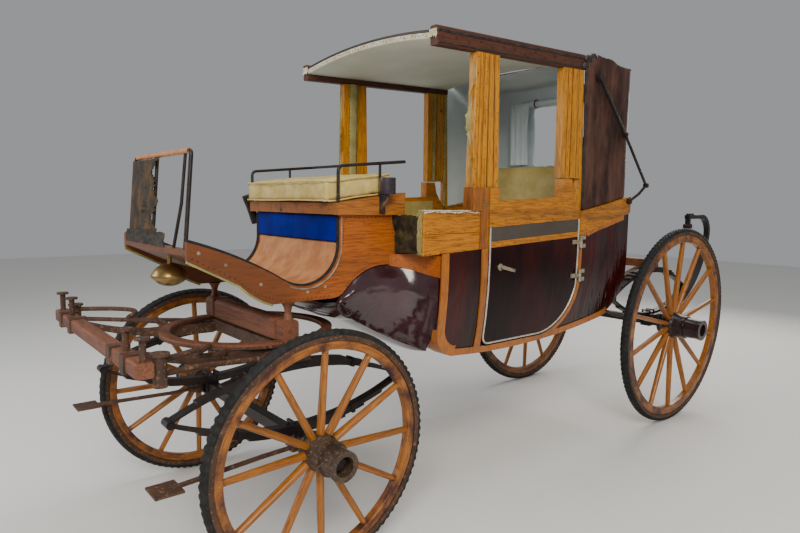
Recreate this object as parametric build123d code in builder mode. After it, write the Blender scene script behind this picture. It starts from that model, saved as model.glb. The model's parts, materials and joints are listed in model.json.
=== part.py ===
"""Landau carriage, stripped for repair: body, box seat, turning fore carriage and four wheels.

Millimetres. +X is the way the carriage travels, +Y its left side, +Z up.
The origin is on the ground, under the middle of the carriage's length.
Stations along the length are measured forward from the front axle, and the body hangs from
them, so a longer wheelbase moves only the rear axle with its springs and bars.
"""

import os
from math import asin, atan2, cos, degrees, radians, sin, tan

from build123d import *

# Wheels
wheelbase = 2722.0
camber = 1.9
tyre_width = 50.0
tyre_depth = 28.0
tyre_shoulder = 8.0
channel_depth = 12.0
channel_width = 44.0
felloe_width = 40.0
front_tyre_r = 475.0
rear_tyre_r = 636.0
front_felloe_depth = 35.0
rear_felloe_depth = 50.0
front_spokes = 12
rear_spokes = 14
half_track = 621.0
dish = 24.0
axle_arm_r = 22.0
running_gap = 0.05
nave_band = 5.0
nave_band_width = 15.0
hub_hollow_r = 38.0

# Body shell
half_width = 561.0
wall = 28.0
floor_z = 702.0
body_rear_x = -2177.0
body_front_x = -647.0
door_rear_x = -1676.0
door_front_x = -954.0
door_bottom_z = 732.0
door_gap = 5.0
door_swing_gap = 10.0
hinge_pin_r = 5.0
hinge_knuckle_r = 9.0
hinge_height = 66.0
hinge_zs = (1030.0, 1214.0)
belt_front_z = 1191.0
belt_rise = 0.05
band_height = 96.0
band_recess = 4.0
door_strip = 28.0
moulding_proud = 6.0
moulding_width = 44.0
sill_width = 27.0
rail_height = 122.0
roof_front_x = -616.0
roof_rear_x = -1688.0
roof_front_z = 2080.0
roof_slope = 2.5
roof_half_width = 545.0
cantrail_height = 82.0
cantrail_width = 46.0
roof_crown = 34.0
groove_width = 5.0
groove_depth = 4.0

# Box seat, boot and footboard
plate_y = 375.0
plate_thick = 22.0
seat_half_width = 400.0
seat_front_x = -212.0
seat_rear_x = -572.0
seat_bottom_z = 1360.0
seat_front_z = 1409.0
seat_rear_z = 1458.0
board_thick = 22.0
cushion_thick = 86.0
rail_rod_r = 7.0
rail_rise = 152.0
footboard_thick = 18.0
dash_x = 390.0
dash_foot_z = 1238.0
dash_top_z = 1590.0
dash_half_width = 317.0
dash_lean = 30.0
lamp_bore_r = 32.0
lamp_wall = 4.0

# Carriage under the body
ring_r = 350.0
ring_width = 44.0
ring_thick = 10.0
ring_z = 838.0
ring_gap = 0.6
joint_gap = 0.1
axle_depth = 46.0
clip_thick = 8.0
seat_gap = 0.3
king_pin_r = 14.0
bed_half = 385.0
spring_y = 430.0
spring_width = 44.0
leaf_thick = 9.0
leaves = 4
front_spring_half = 505.0
front_spring_rise = 112.0
rear_spring_half = 470.0
rear_spring_rise = 135.0
splinter_x = 623.0
splinter_z = 888.0
splinter_half = 585.0
splinter_depth = 58.0
strap_thick = 6.0
roller_pin_r = 11.0
guard_r = 22.0
guard_height = 106.0
futchell_y = 300.0
c_spring_y = 479.0
c_spring_thick = 28.0
c_spring_width = 34.0
c_spring_rear = 700.0
c_spring_top = 1340.0
c_spring_curl = 115.0
handle_y = 372.0
flare_start = -522.0
flare_y = 548.0
flare_proud = 10.0

# Worked out from the sizes above
tilt = radians(camber)
reach = wheelbase + splinter_x + splinter_depth / 2 + strap_thick
rear_reach = c_spring_rear + c_spring_thick / 2
rear_axle_x = (rear_reach - reach) / 2
front_axle_x = rear_axle_x + wheelbase
tread_half = tyre_width / 2 - tyre_shoulder
front_hub_z = front_tyre_r * cos(tilt) + tread_half * sin(tilt)
rear_hub_z = rear_tyre_r * cos(tilt) + tread_half * sin(tilt)


def at(x):
    """Return the row X of a station measured forward from the front axle."""
    return front_axle_x + x


def back(x):
    """Return the row X of a distance measured forward from the rear axle."""
    return rear_axle_x + x


def stations(points):
    """Return (x, z) points measured from the front axle as row points."""
    return [(at(x), z) for x, z in points]


def side(y):
    """Return the upright fore-and-aft plane at y, whose extrusions go towards -Y."""
    return Plane.XZ.offset(-y)


def belt(x):
    """Return the height of the tub's top edge at a station."""
    return belt_front_z + belt_rise * (body_front_x - x)


def roof_z(x):
    """Return the height of the roof's lower edge at a station."""
    return roof_front_z + tan(radians(roof_slope)) * (roof_front_x - x)


def seat_z(x):
    """Return the height of the box seat's board at a station."""
    return seat_rear_z + (seat_front_z - seat_rear_z) * (x - seat_rear_x) / (seat_front_x - seat_rear_x)


def strip(points, inner, outer, both=True):
    """Extrude an (x, z) outline between two distances from the middle plane, on both sides."""
    with BuildPart() as piece:
        with BuildSketch(side(outer)):
            with BuildLine():
                Polyline(*stations(points), close=True)
            make_face()
        extrude(amount=outer - inner)
        if both:
            mirror(about=Plane.XZ)
    return piece.part


def rod(points, radius):
    """Return straight round rods from point to point, with a small knuckle at each joint."""
    path = [Vector(*p) for p in points]
    with BuildPart() as piece:
        for start, end in zip(path, path[1:]):
            with BuildSketch(Plane(origin=start, z_dir=end - start)):
                Circle(radius)
            extrude(amount=(end - start).length)
        for joint, after in zip(path[1:-1], path[2:]):
            with Locations(Plane(origin=joint, z_dir=after - joint)):
                Sphere(radius + 0.8)
    return piece.part


def bent_rod(points, radius, bend):
    """Sweep a round rod along straight runs joined by arcs of one radius."""
    with BuildPart() as piece:
        with BuildLine() as line:
            FilletPolyline(*[Vector(*p) for p in points], radius=bend)
        with BuildSketch(Plane(origin=line.line @ 0, z_dir=line.line % 0)):
            Circle(radius)
        sweep()
    return piece.part


# Wheels: each is made about its own Y axis and then set on its axle arm
def wheel(tyre_r, felloe_depth, spokes, nave_out, nave_in, nave_r, nose_r):
    """Return the tyre, the felloe with its spokes, and the nave of a left wheel."""
    channel_r = tyre_r - tyre_depth
    felloe_r = channel_r - channel_depth
    inner_r = felloe_r - felloe_depth
    with BuildPart() as tyre:
        with BuildSketch(Plane.XY):
            with BuildLine():
                Polyline(
                    (channel_r - 1, -channel_width / 2),
                    (channel_r + 5, -tyre_width / 2),
                    (tyre_r - tyre_shoulder, -tyre_width / 2),
                    (tyre_r, -tread_half),
                    (tyre_r, tread_half),
                    (tyre_r - tyre_shoulder, tyre_width / 2),
                    (channel_r + 5, tyre_width / 2),
                    (channel_r - 1, channel_width / 2),
                    close=True,
                )
            make_face()
            with Locations((felloe_r + channel_depth / 2, 0)):
                Rectangle(channel_depth, channel_width)
        revolve(axis=Axis.Y)
    with BuildPart() as wood:
        with BuildSketch(Plane.XY):
            with Locations(((felloe_r + inner_r) / 2, 0)):
                RectangleRounded(felloe_r - inner_r, felloe_width, 6)
        revolve(axis=Axis.Y)
        with BuildPart(mode=Mode.PRIVATE) as spoke:
            foot = Plane(origin=(0, -dish, nave_r * 0.72), z_dir=(0, 0, 1))
            head = Plane(origin=(0, 0, inner_r + 4), z_dir=(0, 0, 1))
            with BuildSketch(foot):
                Ellipse(15, 20)
            with BuildSketch(head):
                Ellipse(12, 15)
            loft()
        for step in range(spokes):
            turned = Rotation(0, 360.0 / spokes * step, 0)
            add(spoke.part.moved(turned))
    band_y = nave_out * 0.35
    with BuildPart() as nave:
        with BuildSketch(Plane.XY):
            with BuildLine():
                Polyline(
                    (axle_arm_r + running_gap, -nave_in),
                    (nose_r + nave_band, -nave_in),
                    (nose_r + nave_band, -nave_in + nave_band_width),
                    (nose_r + 2, -nave_in + nave_band_width),
                    (nave_r - 8, -dish - 36),
                    (nave_r, -dish - 20),
                    (nave_r, -dish + 20),
                    (nave_r - 6, -dish + 36),
                    (nose_r + 8, band_y),
                    (nose_r + 8 + nave_band, band_y),
                    (nose_r + 8 + nave_band, band_y + nave_band_width),
                    (nose_r + 5, band_y + nave_band_width),
                    (nose_r, nave_out - nave_band_width),
                    (nose_r + nave_band, nave_out - nave_band_width),
                    (nose_r + nave_band, nave_out),
                    (hub_hollow_r, nave_out),
                    (hub_hollow_r, nave_out - 62),
                    (axle_arm_r + running_gap, nave_out - 62),
                    close=True,
                )
            make_face()
        revolve(axis=Axis.Y)
        add(wood.part, mode=Mode.SUBTRACT)
    return tyre.part, wood.part, nave.part


wheel_sizes = {
    # place: tyre radius, felloe depth, spokes, nave ends out and in, nave and nose radius
    "front": (front_tyre_r, front_felloe_depth, front_spokes, 143.0, 86.0, 72.0, 54.0),
    "rear": (rear_tyre_r, rear_felloe_depth, rear_spokes, 178.0, 95.0, 84.0, 60.0),
}
wheel_centres = {
    "front": (front_axle_x, half_track, front_hub_z),
    "rear": (rear_axle_x, half_track, rear_hub_z),
}
pieces = {}
for end, sizes in wheel_sizes.items():
    placed = Location(wheel_centres[end], (-camber, 0, 0))
    for kind, solid in zip(("tyre", "spokes", "nave"), wheel(*sizes)):
        left = solid.moved(placed)
        pieces[f"{end}_left_{kind}"] = left
        pieces[f"{end}_right_{kind}"] = mirror(left, about=Plane.XZ)


def axle(end, bed_depth, bed_z):
    """Return an axle: its bed across the carriage with a tilted arm and nut at each end."""
    centre = wheel_centres[end]
    nave_out = wheel_sizes[end][3]
    nave_in = wheel_sizes[end][4]
    arm_length = nave_in + nave_out - 62 + 4
    arm_plane = Plane(
        origin=(0, 0, 0), x_dir=(1, 0, 0), z_dir=(0, 1, 0)
    )
    with BuildPart(mode=Mode.PRIVATE) as arm:
        with BuildSketch(arm_plane.offset(-nave_in - 24)):
            Circle(34)
        extrude(amount=22)
        with BuildSketch(arm_plane.offset(-nave_in - 4)):
            Circle(axle_arm_r)
        extrude(amount=arm_length + 6)
        with BuildSketch(arm_plane.offset(nave_out - 58)):
            RegularPolygon(29, 6)
        extrude(amount=26)
    arm_left = arm.part.moved(Location(centre, (-camber, 0, 0)))
    bed_end = centre[1] - nave_in * cos(tilt) - 8
    with BuildPart() as whole:
        with Locations((centre[0], 0, bed_z)):
            Box(bed_depth, 2 * bed_end, bed_depth)
        add(arm_left)
        mirror(about=Plane.XZ)
    return whole.part


front_axle_z = front_hub_z + 3.0
rear_axle_z = rear_hub_z + 3.0
pieces["front_axle"] = axle("front", axle_depth, front_axle_z)
pieces["rear_axle"] = axle("rear", axle_depth, rear_axle_z)


# Springs: full ellipses of stacked leaves, eyes at both ends
def half_ellipse(x, mid_z, half, rise, upward):
    """Return one leaf pack at a row X whose main leaf runs from eye to eye."""
    radius = (half * half + rise * rise) / (2 * rise)
    with BuildPart() as pack:
        for leaf in range(leaves):
            length = half * (1 - 0.19 * leaf)
            outer_r = radius + leaf_thick * leaf
            with BuildSketch(side(spring_y + spring_width / 2)):
                with Locations((x, mid_z - upward * radius)):
                    Circle(outer_r + leaf_thick)
                    Circle(outer_r, mode=Mode.SUBTRACT)
                with Locations((x, mid_z - upward * 0.2 * rise)):
                    Rectangle(2 * length, 2.6 * rise, mode=Mode.INTERSECT)
            extrude(amount=spring_width)
        turn = asin(clip_share * half / radius)
        clip_r = radius + leaf_thick * 1.6
        for sign in (-1, 1):
            middle = (x + sign * clip_r * sin(turn), spring_y, mid_z + upward * (clip_r * cos(turn) - radius))
            with Locations(Location(middle, (0, sign * upward * degrees(turn), 0))):
                Box(15, spring_width + 9, 3.2 * leaf_thick + 9)
    return pack.part


def elliptic(x, low_z, half, rise):
    """Return a pair of full elliptic springs on an axle at a row X, and the height of their top."""
    pack = leaf_thick * leaves
    low_mid = low_z + pack
    eye_z = low_mid + rise
    top_mid = eye_z + rise
    eye_r = leaf_thick + 7.0
    with BuildPart() as spring:
        add(half_ellipse(x, low_mid, half, rise, -1))
        add(half_ellipse(x, top_mid, half, rise, 1))
        for end in (-1, 1):
            with BuildSketch(side(spring_y + spring_width / 2 + 5)):
                with Locations((x + end * half, eye_z)):
                    Circle(eye_r)
            extrude(amount=spring_width + 10)
            with BuildSketch(side(spring_y + spring_width / 2 + 9)):
                with Locations((x + end * half, eye_z)):
                    RegularPolygon(11, 6)
            extrude(amount=spring_width + 18)
            leg_x = x + end * (axle_depth / 2 + seat_gap + clip_thick / 2)
            leg_low = low_z - axle_depth - clip_thick - seat_gap
            leg_top = low_mid + leaf_thick + clip_thick
            for leg_y in (-1, 1):
                leg = (leg_x, spring_y + leg_y * (spring_width / 2 + 3), (leg_low + leg_top) / 2)
                with Locations(leg):
                    Box(clip_thick, clip_thick, leg_top - leg_low)
            with Locations((leg_x, spring_y, leg_top - clip_thick / 2)):
                Box(clip_thick + 4, spring_width + 14, clip_thick)
        with Locations((x, spring_y, leg_low + clip_thick / 2)):
            Box(axle_depth + 2 * clip_thick + 12, spring_width + 22, clip_thick)
        mirror(about=Plane.XZ)
    return spring.part, top_mid + pack


clip_share = 0.5
front_spring_low = front_axle_z + axle_depth / 2
rear_spring_low = rear_axle_z + axle_depth / 2
front_springs, front_spring_top = elliptic(front_axle_x, front_spring_low, front_spring_half, front_spring_rise)
rear_springs, rear_spring_top = elliptic(rear_axle_x, rear_spring_low, rear_spring_half, rear_spring_rise)
pieces["front_springs"] = front_springs
pieces["rear_springs"] = rear_springs


# Fore carriage: lower bed and ring, futchells, splinter bar and irons
def ring(low_z):
    """Return one flat ring of the turning plate."""
    with BuildPart() as plate:
        with BuildSketch(Plane.XY.offset(low_z)):
            with Locations((front_axle_x, 0)):
                Circle(ring_r + ring_width / 2)
                Circle(ring_r - ring_width / 2, mode=Mode.SUBTRACT)
        extrude(amount=ring_thick)
    return plate.part


upper_ring_z = ring_z + ring_thick + ring_gap
lower_bed_depth = ring_z - front_spring_top
with BuildPart() as lower_bed:
    with Locations((front_axle_x, 0, front_spring_top + lower_bed_depth / 2)):
        Box(78, 2 * (spring_y + 40), lower_bed_depth)
    add(ring(ring_z))
    with Locations((front_axle_x, 0, ring_z + ring_thick / 2)):
        Box(78, 2 * ring_r, ring_thick)
    with Locations((front_axle_x, 0, ring_z)):
        Cylinder(king_pin_r + running_gap, 400, mode=Mode.SUBTRACT)
pieces["lower_bed"] = lower_bed.part

futchell_low_z = ring_z - 52.0
futchell_rear = 39.0
with BuildPart() as futchells:
    with BuildSketch(side(futchell_y + 20)):
        with BuildLine():
            nose_x = splinter_x - splinter_depth / 2
            Line((at(futchell_rear), futchell_low_z), (at(nose_x * 0.4), futchell_low_z + 4))
            ThreePointArc(
                (at(nose_x * 0.4), futchell_low_z + 4),
                (at(nose_x * 0.7), futchell_low_z + 34),
                (at(nose_x), splinter_z - 14),
            )
            Line((at(nose_x), splinter_z - 14), (at(nose_x), splinter_z + 12))
            ThreePointArc(
                (at(nose_x), splinter_z + 12),
                (at(nose_x * 0.78), ring_z + 20),
                (at(ring_r - 30), ring_z - 2),
            )
            Line((at(ring_r - 30), ring_z - 2), (at(futchell_rear), ring_z - 2))
            Line((at(futchell_rear), ring_z - 2), (at(futchell_rear), futchell_low_z))
        make_face()
    extrude(amount=40)
    mirror(about=Plane.XZ)
pieces["futchells"] = futchells.part

with BuildPart() as splinter_bar:
    with Locations((at(splinter_x), 0, splinter_z)):
        Box(splinter_depth, 2 * splinter_half, 52)
    fillet(splinter_bar.edges().filter_by(Axis.Y), radius=10)
pieces["splinter_bar"] = splinter_bar.part

with BuildPart() as splinter_irons:
    for y in (futchell_y, futchell_y + 160):
        with Locations((at(splinter_x), y, splinter_z)):
            Box(splinter_depth + 2 * strap_thick, 42, 52 + 2 * strap_thick)
    add(splinter_bar.part, mode=Mode.SUBTRACT)
    add(futchells.part, mode=Mode.SUBTRACT)
    for y in (futchell_y + 92, splinter_half - 16):
        with Locations((at(splinter_x), y, splinter_z + 26 + 35)):
            Cylinder(roller_pin_r, 70)
        with Locations((at(splinter_x), y, splinter_z + 26 + 70 + 4)):
            Cylinder(24, 8)
    mirror(about=Plane.XZ)
pieces["splinter_irons"] = splinter_irons.part

step_y = 525.0
step_z = 462.0
stay_rear = 40.0
stay_y = spring_y + 48.0
with BuildPart() as steps:
    with Locations((at(553), step_y, step_z)):
        Box(96, 104, 8)
    add(
        rod(
            [
                (at(stay_rear), stay_y, step_z + 4),
                (at(178), stay_y + 2, step_z),
                (at(540), step_y, step_z - 1),
            ],
            9,
        )
    )
    with Locations((at(stay_rear), stay_y, step_z + 4)):
        Box(34, 26, 34)
    mirror(about=Plane.XZ)
pieces["steps"] = steps.part

guard_x = splinter_x - splinter_depth / 2 - guard_r - joint_gap
guard_y = splinter_half - 16.0
iron_r = 10.0
bend_z = ring_z - 2 + iron_r + seat_gap
with BuildPart() as wheel_irons:
    add(
        rod(
            [
                (at(guard_x), guard_y, splinter_z - 22),
                (at(398), 500, 852),
                (at(47), spring_y + 10, 819),
            ],
            iron_r,
        )
    )
    with Locations((at(47), spring_y + 10, 818)):
        Box(16, 44, 34)
    with Locations((at(guard_x), guard_y, splinter_z - 10)):
        Cylinder(guard_r, guard_height)
    with Locations((at(guard_x), guard_y, splinter_z - 10 + guard_height / 2)):
        Cylinder(guard_r + 9, 9)
    with BuildLine() as bend:
        Spline(
            (at(ring_r - 62), 262, bend_z),
            (at(ring_r - 96), 330, bend_z + 2),
            (at(ring_r - 52), 384, bend_z + 6),
            (at(ring_r + 40), 410, bend_z + 22),
            (at(guard_x), guard_y, splinter_z + 22),
            tangents=[(-0.75, 0.66, 0), (0.9, 0.42, 0)],
        )
    with BuildSketch(Plane(origin=bend.line @ 0, z_dir=bend.line % 0)):
        Circle(iron_r)
    sweep()
    mirror(about=Plane.XZ)
pieces["wheel_irons"] = wheel_irons.part

# Upper bed: ring, king pin and transom fixed under the boot
transom_low = upper_ring_z + ring_thick
transom_top = 945.0
plate_low = 1013.0
with BuildPart() as upper_bed:
    add(ring(upper_ring_z))
    with BuildSketch(Plane.XZ.offset(-bed_half)):
        with Locations((front_axle_x, (transom_low + transom_top) / 2 - ring_thick / 2)):
            RectangleRounded(70, transom_top - transom_low + ring_thick, 20)
    extrude(amount=2 * bed_half)
    with Locations((front_axle_x, 0, upper_ring_z - 60)):
        Cylinder(king_pin_r, 150)
    for y in (-bed_half + 25, bed_half - 25):
        with BuildSketch(Plane.XZ.offset(-y)):
            with BuildLine():
                Line((front_axle_x, transom_top - 6), (front_axle_x + 27, transom_top - 6))
                ThreePointArc(
                    (front_axle_x + 27, transom_top - 6),
                    (front_axle_x + 14, (transom_top + plate_low) / 2),
                    (front_axle_x + 30, plate_low),
                )
                Line((front_axle_x + 30, plate_low), (front_axle_x, plate_low))
                Line((front_axle_x, plate_low), (front_axle_x, transom_top - 6))
            make_face()
        revolve(axis=Axis((front_axle_x, y, 0), (0, 0, 1)))
    for y in (-bed_half + 80, bed_half - 80):
        with Locations((front_axle_x, y, (transom_low + transom_top) / 2 + 4)):
            Box(82, 34, transom_top - transom_low - 2)
pieces["upper_bed"] = upper_bed.part


# Body tub: the shell of sides, ends and floor, hollow and open at the top
def body_side(inset):
    """Draw the body's outline seen from its side, drawn in by a distance."""
    with BuildSketch(side(700)) as outline:
        with BuildLine():
            top = 1620.0
            start = (at(body_front_x), top)
            Line(start, (at(body_front_x), 860))
            ThreePointArc((at(body_front_x), 860), (at(-677), 768), (at(-757), 718))
            ThreePointArc((at(-757), 718), (at(-1292), floor_z), (at(-1922), 765))
            ThreePointArc((at(-1922), 765), (at(-2094), 842), (at(body_rear_x), 965))
            Line((at(body_rear_x), 965), (at(body_rear_x), top))
            Line((at(body_rear_x), top), start)
        make_face()
        if inset:
            offset(amount=-inset)
    return outline.sketch


def body_block(inset):
    """Return the closed outer form of the lower body, drawn in by a wall thickness."""
    with BuildPart() as block:
        extrude(body_side(inset), amount=1400)
        with BuildSketch(Plane.YZ.offset(at(body_rear_x - 60)), mode=Mode.PRIVATE) as section:
            with BuildLine():
                Line((half_width, 1700), (half_width, 1180))
                ThreePointArc((half_width, 1180), (half_width - 8, 960), (half_width - 52, 660))
                Line((half_width - 52, 660), (-half_width + 52, 660))
                ThreePointArc((-half_width + 52, 660), (-half_width + 8, 960), (-half_width, 1180))
                Line((-half_width, 1180), (-half_width, 1700))
                Line((-half_width, 1700), (half_width, 1700))
            make_face()
            if inset:
                offset(amount=-inset)
        extrude(section.sketch, amount=2400, mode=Mode.INTERSECT)
    return block.part


def door_face(front, grow=0.0):
    """Draw the door's outline up to a front edge, larger all round by a gap."""
    with BuildSketch(side(700)) as face:
        with BuildLine():
            high = 1900.0
            Line((at(front), high), (at(front), door_bottom_z + 40))
            RadiusArc((at(front), door_bottom_z + 40), (at(front - 40), door_bottom_z), 40)
            Line((at(front - 40), door_bottom_z), (at(-1392), door_bottom_z))
            ThreePointArc((at(-1392), door_bottom_z), (at(-1572), 800), (at(door_rear_x), 985))
            Line((at(door_rear_x), 985), (at(door_rear_x), high))
            Line((at(door_rear_x), high), (at(front), high))
        make_face()
        if grow:
            offset(amount=grow)
    return face.sketch


quarter_low = [(body_rear_x, 1370), (door_rear_x - 190, 1297), (door_rear_x - door_gap, 1254)]
quarter_high = [(body_rear_x, 1466), (door_rear_x - 190, 1409), (door_rear_x - door_gap, 1377)]
above = [
    (body_rear_x - 60, 2000),
    (body_rear_x - 60, 1370),
    *quarter_low,
    (door_rear_x + 0.01, belt(door_rear_x)),
    (body_front_x + 60, belt(body_front_x + 60)),
    (body_front_x + 60, 2000),
]
shell_outer = body_block(0)
shell_inner = body_block(wall)
above_belt = strip(above, 0, 700)
with BuildPart() as tub:
    add(shell_outer)
    add(shell_inner, mode=Mode.SUBTRACT)
    add(above_belt, mode=Mode.SUBTRACT)
    opening = door_face(door_front_x + door_swing_gap - door_gap, door_gap)
    extrude(opening, amount=1400, mode=Mode.SUBTRACT)
pieces["tub"] = tub.part

# Mouldings let on to the tub: front edge, sill, pillar, door curve and quarter corner
pillar_rear = door_front_x + door_swing_gap
pillar_front = pillar_rear + 52.0
side_inner = 440.0
front_window = [(-775, 600), (body_front_x, 600), (body_front_x, 1400), (-775, 1400)]
sill_window = [(-2010, 600), (-770, 600), (-770, 900), (-2010, 900)]
pillar_strip = [
    (pillar_rear, 712),
    (pillar_rear + 44, 712),
    (pillar_rear + 36, 800),
    (pillar_rear + 42, 1300),
    (pillar_rear, 1300),
]
quarter_corner = [
    (door_rear_x - door_gap, 1350),
    (door_rear_x - door_gap, 1130),
    (door_rear_x - door_gap - 26, 1196),
    (door_rear_x - door_gap - 72, 1242),
    (door_rear_x - door_gap - 150, 1266),
    (body_rear_x + 60, 1330),
    (body_rear_x + 60, 1400),
]
with BuildPart() as front_edge:
    extrude(body_side(-moulding_proud), amount=1400)
    extrude(body_side(moulding_width), amount=1400, mode=Mode.SUBTRACT)
    add(strip(front_window, side_inner, 700), mode=Mode.INTERSECT)
with BuildPart() as sill_edge:
    extrude(body_side(-moulding_proud), amount=1400)
    extrude(body_side(sill_width), amount=1400, mode=Mode.SUBTRACT)
    add(strip(sill_window, side_inner, 700), mode=Mode.INTERSECT)
with BuildPart() as door_curve:
    extrude(door_face(door_front_x, door_gap + moulding_width / 2), amount=1400)
    add(strip([(-1400, 600), (0, 600), (0, 1990), (-1400, 1990)], 0, 700), mode=Mode.SUBTRACT)
with BuildPart() as mouldings:
    add(front_edge.part)
    add(sill_edge.part)
    add(door_curve.part)
    add(strip(pillar_strip, side_inner, 700))
    add(strip(quarter_corner, side_inner, 700))
    add(strip([(-3000, 0), (500, 0), (500, 2500), (-3000, 2500)], side_inner, 700), mode=Mode.INTERSECT)
    add(body_block(-moulding_proud), mode=Mode.INTERSECT)
    add(shell_outer, mode=Mode.SUBTRACT)
    add(above_belt, mode=Mode.SUBTRACT)
    extrude(opening, amount=1400, mode=Mode.SUBTRACT)
    for z in hinge_zs:
        with Locations((at(door_rear_x - door_gap - 32), 0, z)):
            Box(80, 1400, hinge_height + 4, mode=Mode.SUBTRACT)
pieces["body_mouldings"] = mouldings.part

# Belt rails of the rear quarter, and the two planks of the front quarter
with BuildPart() as belt_rails:
    add(strip([*quarter_low, *reversed(quarter_high)], half_width - wall, half_width + 6))
    with BuildSketch(Plane.YZ.offset(at(body_rear_x))):
        with Locations((0, (quarter_low[0][1] + quarter_high[0][1]) / 2)):
            Rectangle(2 * half_width + 12, quarter_high[0][1] - quarter_low[0][1])
    extrude(amount=-6)
    back_rail = [
        (body_rear_x, quarter_high[0][1] - 46),
        (body_rear_x + wall, quarter_high[0][1] - 46),
        (body_rear_x + wall, quarter_high[0][1] - 6),
        (body_rear_x, quarter_high[0][1]),
    ]
    add(strip(back_rail, 0, half_width))
pieces["belt_rails"] = belt_rails.part

plank_rear = pillar_front + joint_gap
plank_front = -542.0
plank_top = 1380.0
front_planks = [
    (plank_rear, belt(plank_rear) + joint_gap),
    (plank_front, belt(plank_front) + joint_gap),
    (plank_front, plank_top),
    (plank_rear, plank_top),
]
plank_face = half_width - 4.0
plank_seam = [
    (plank_rear - 1, 1281),
    (plank_front + 1, 1275),
    (plank_front + 1, 1279),
    (plank_rear - 1, 1285),
]
with BuildPart() as planks:
    add(strip(front_planks, plank_face - 42, plank_face))
    fillet(planks.edges().filter_by(Axis.Z).group_by(Axis.X)[-1], radius=8)
    add(strip(plank_seam, plank_face - groove_depth, plank_face + 1), mode=Mode.SUBTRACT)
pieces["front_planks"] = planks.part

# Pillars: dark blocks at the belt, upper posts below the roof
block_top = 1488.0
pillar_block = [
    (pillar_rear, belt(pillar_rear) + joint_gap),
    (pillar_front, belt(pillar_front) + joint_gap),
    (pillar_front, plank_top + joint_gap),
    (-838, plank_top + joint_gap),
    (-838, block_top),
    (pillar_rear, block_top),
]
pieces["pillar_blocks"] = strip(pillar_block, half_width - 62, half_width + 2)

upper_z = block_top + 1
front_post = [
    (pillar_rear + 6, upper_z),
    (-850, upper_z),
    (-860, roof_z(-860)),
    (pillar_rear + 6, roof_z(pillar_rear + 6)),
]
door_post = [
    (-1030, block_top + door_gap),
    (door_front_x, block_top + door_gap),
    (door_front_x + 8, roof_z(door_front_x + 8)),
    (-1016, roof_z(-1016)),
]
hinge_post = [
    (-1592, 1548 + door_gap),
    (-1518, 1548 + door_gap),
    (-1514, roof_z(-1514)),
    (-1588, roof_z(-1588)),
]
posts_inner = half_width - 62
posts_outer = half_width - 16


def groove(x_low, z_low, x_high, z_high, face_y):
    """Return a shallow groove down the outer face of a post."""
    line = [
        (x_low, z_low),
        (x_low + groove_width, z_low),
        (x_high + groove_width, z_high),
        (x_high, z_high),
    ]
    return strip(line, face_y - groove_depth, face_y + 1)


with BuildPart() as posts:
    for outline, face_y in (
        (front_post, posts_outer),
        (door_post, posts_outer - 6),
        (hinge_post, posts_outer - 4),
    ):
        add(strip(outline, posts_inner, face_y))
        low, high = outline[0], outline[3]
        wide_low = outline[1][0] - low[0]
        wide_high = outline[2][0] - high[0]
        cut = groove(low[0] + 0.45 * wide_low, low[1] - 1, high[0] + 0.45 * wide_high, high[1] + 9, face_y)
        add(cut, mode=Mode.SUBTRACT)
pieces["posts"] = posts.part

rear_post_outline = [
    (-1706, 1382),
    (door_rear_x - door_gap, 1378),
    (door_rear_x - door_gap, 1556),
    (-1598, 1556),
    (-1594, roof_z(-1594)),
    (-1682, roof_z(-1682)),
]
with BuildPart() as rear_posts:
    add(strip(rear_post_outline, posts_inner, posts_outer))
    add(groove(-1648, 1556, -1644, roof_z(-1644) + 9, posts_outer), mode=Mode.SUBTRACT)
pieces["rear_posts"] = rear_posts.part

# Roof: crowned slab between two cantrails, rising a little to the rear
slope = Location((at(roof_front_x), 0, roof_front_z), (0, roof_slope, 0))
roof_length = (roof_front_x - roof_rear_x) / cos(radians(roof_slope))
with BuildPart() as roof_flat:
    inner = roof_half_width - cantrail_width
    with BuildSketch(Plane.YZ):
        with BuildLine():
            Line((-inner, 10), (inner, 10))
            Line((inner, 10), (inner, cantrail_height - 4))
            ThreePointArc(
                (inner, cantrail_height - 4),
                (0, cantrail_height + roof_crown),
                (-inner, cantrail_height - 4),
            )
            Line((-inner, cantrail_height - 4), (-inner, 10))
        make_face()
    extrude(amount=-roof_length)
pieces["roof"] = roof_flat.part.moved(slope)
with BuildPart() as cantrails_flat:
    with BuildSketch(Plane.YZ):
        with Locations((roof_half_width - cantrail_width / 2, cantrail_height / 2)):
            RectangleRounded(cantrail_width, cantrail_height, 8)
    extrude(amount=-roof_length)
    mirror(about=Plane.XZ)
pieces["cantrails"] = cantrails_flat.part.moved(slope)


# Hood: leather shell of the rear quarter with its back window
def hood_block(inset):
    """Return the hood's closed form, drawn in by its thickness."""
    with BuildPart() as block:
        with BuildSketch(side(700)):
            with BuildLine():
                Polyline(
                    (at(-2152 + 6), 2180),
                    (at(-2187), 1914),
                    (at(body_rear_x), quarter_high[0][1] + 0.5),
                    (at(door_rear_x - 190), quarter_high[1][1] + 0.5),
                    (at(-1708), 1383),
                    (at(-1708), 1480),
                    (at(-1690), 2140),
                    (at(-1722), 2196),
                    (at(-1782), 2219),
                    (at(-1922), 2216),
                    (at(-2002), 2196),
                    (at(-2132), 2194),
                    (at(-2152 + 6), 2180),
                )
            make_face()
            if inset:
                offset(amount=-inset)
        extrude(amount=1400)
        with BuildSketch(Plane.XY.offset(1200)):
            with Locations((at(-1822), 0)):
                RectangleRounded(2 * (900 - 530 - inset), 2 * (half_width - 3 - inset), 90)
        extrude(amount=1300, mode=Mode.INTERSECT)
    return block.part


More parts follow.
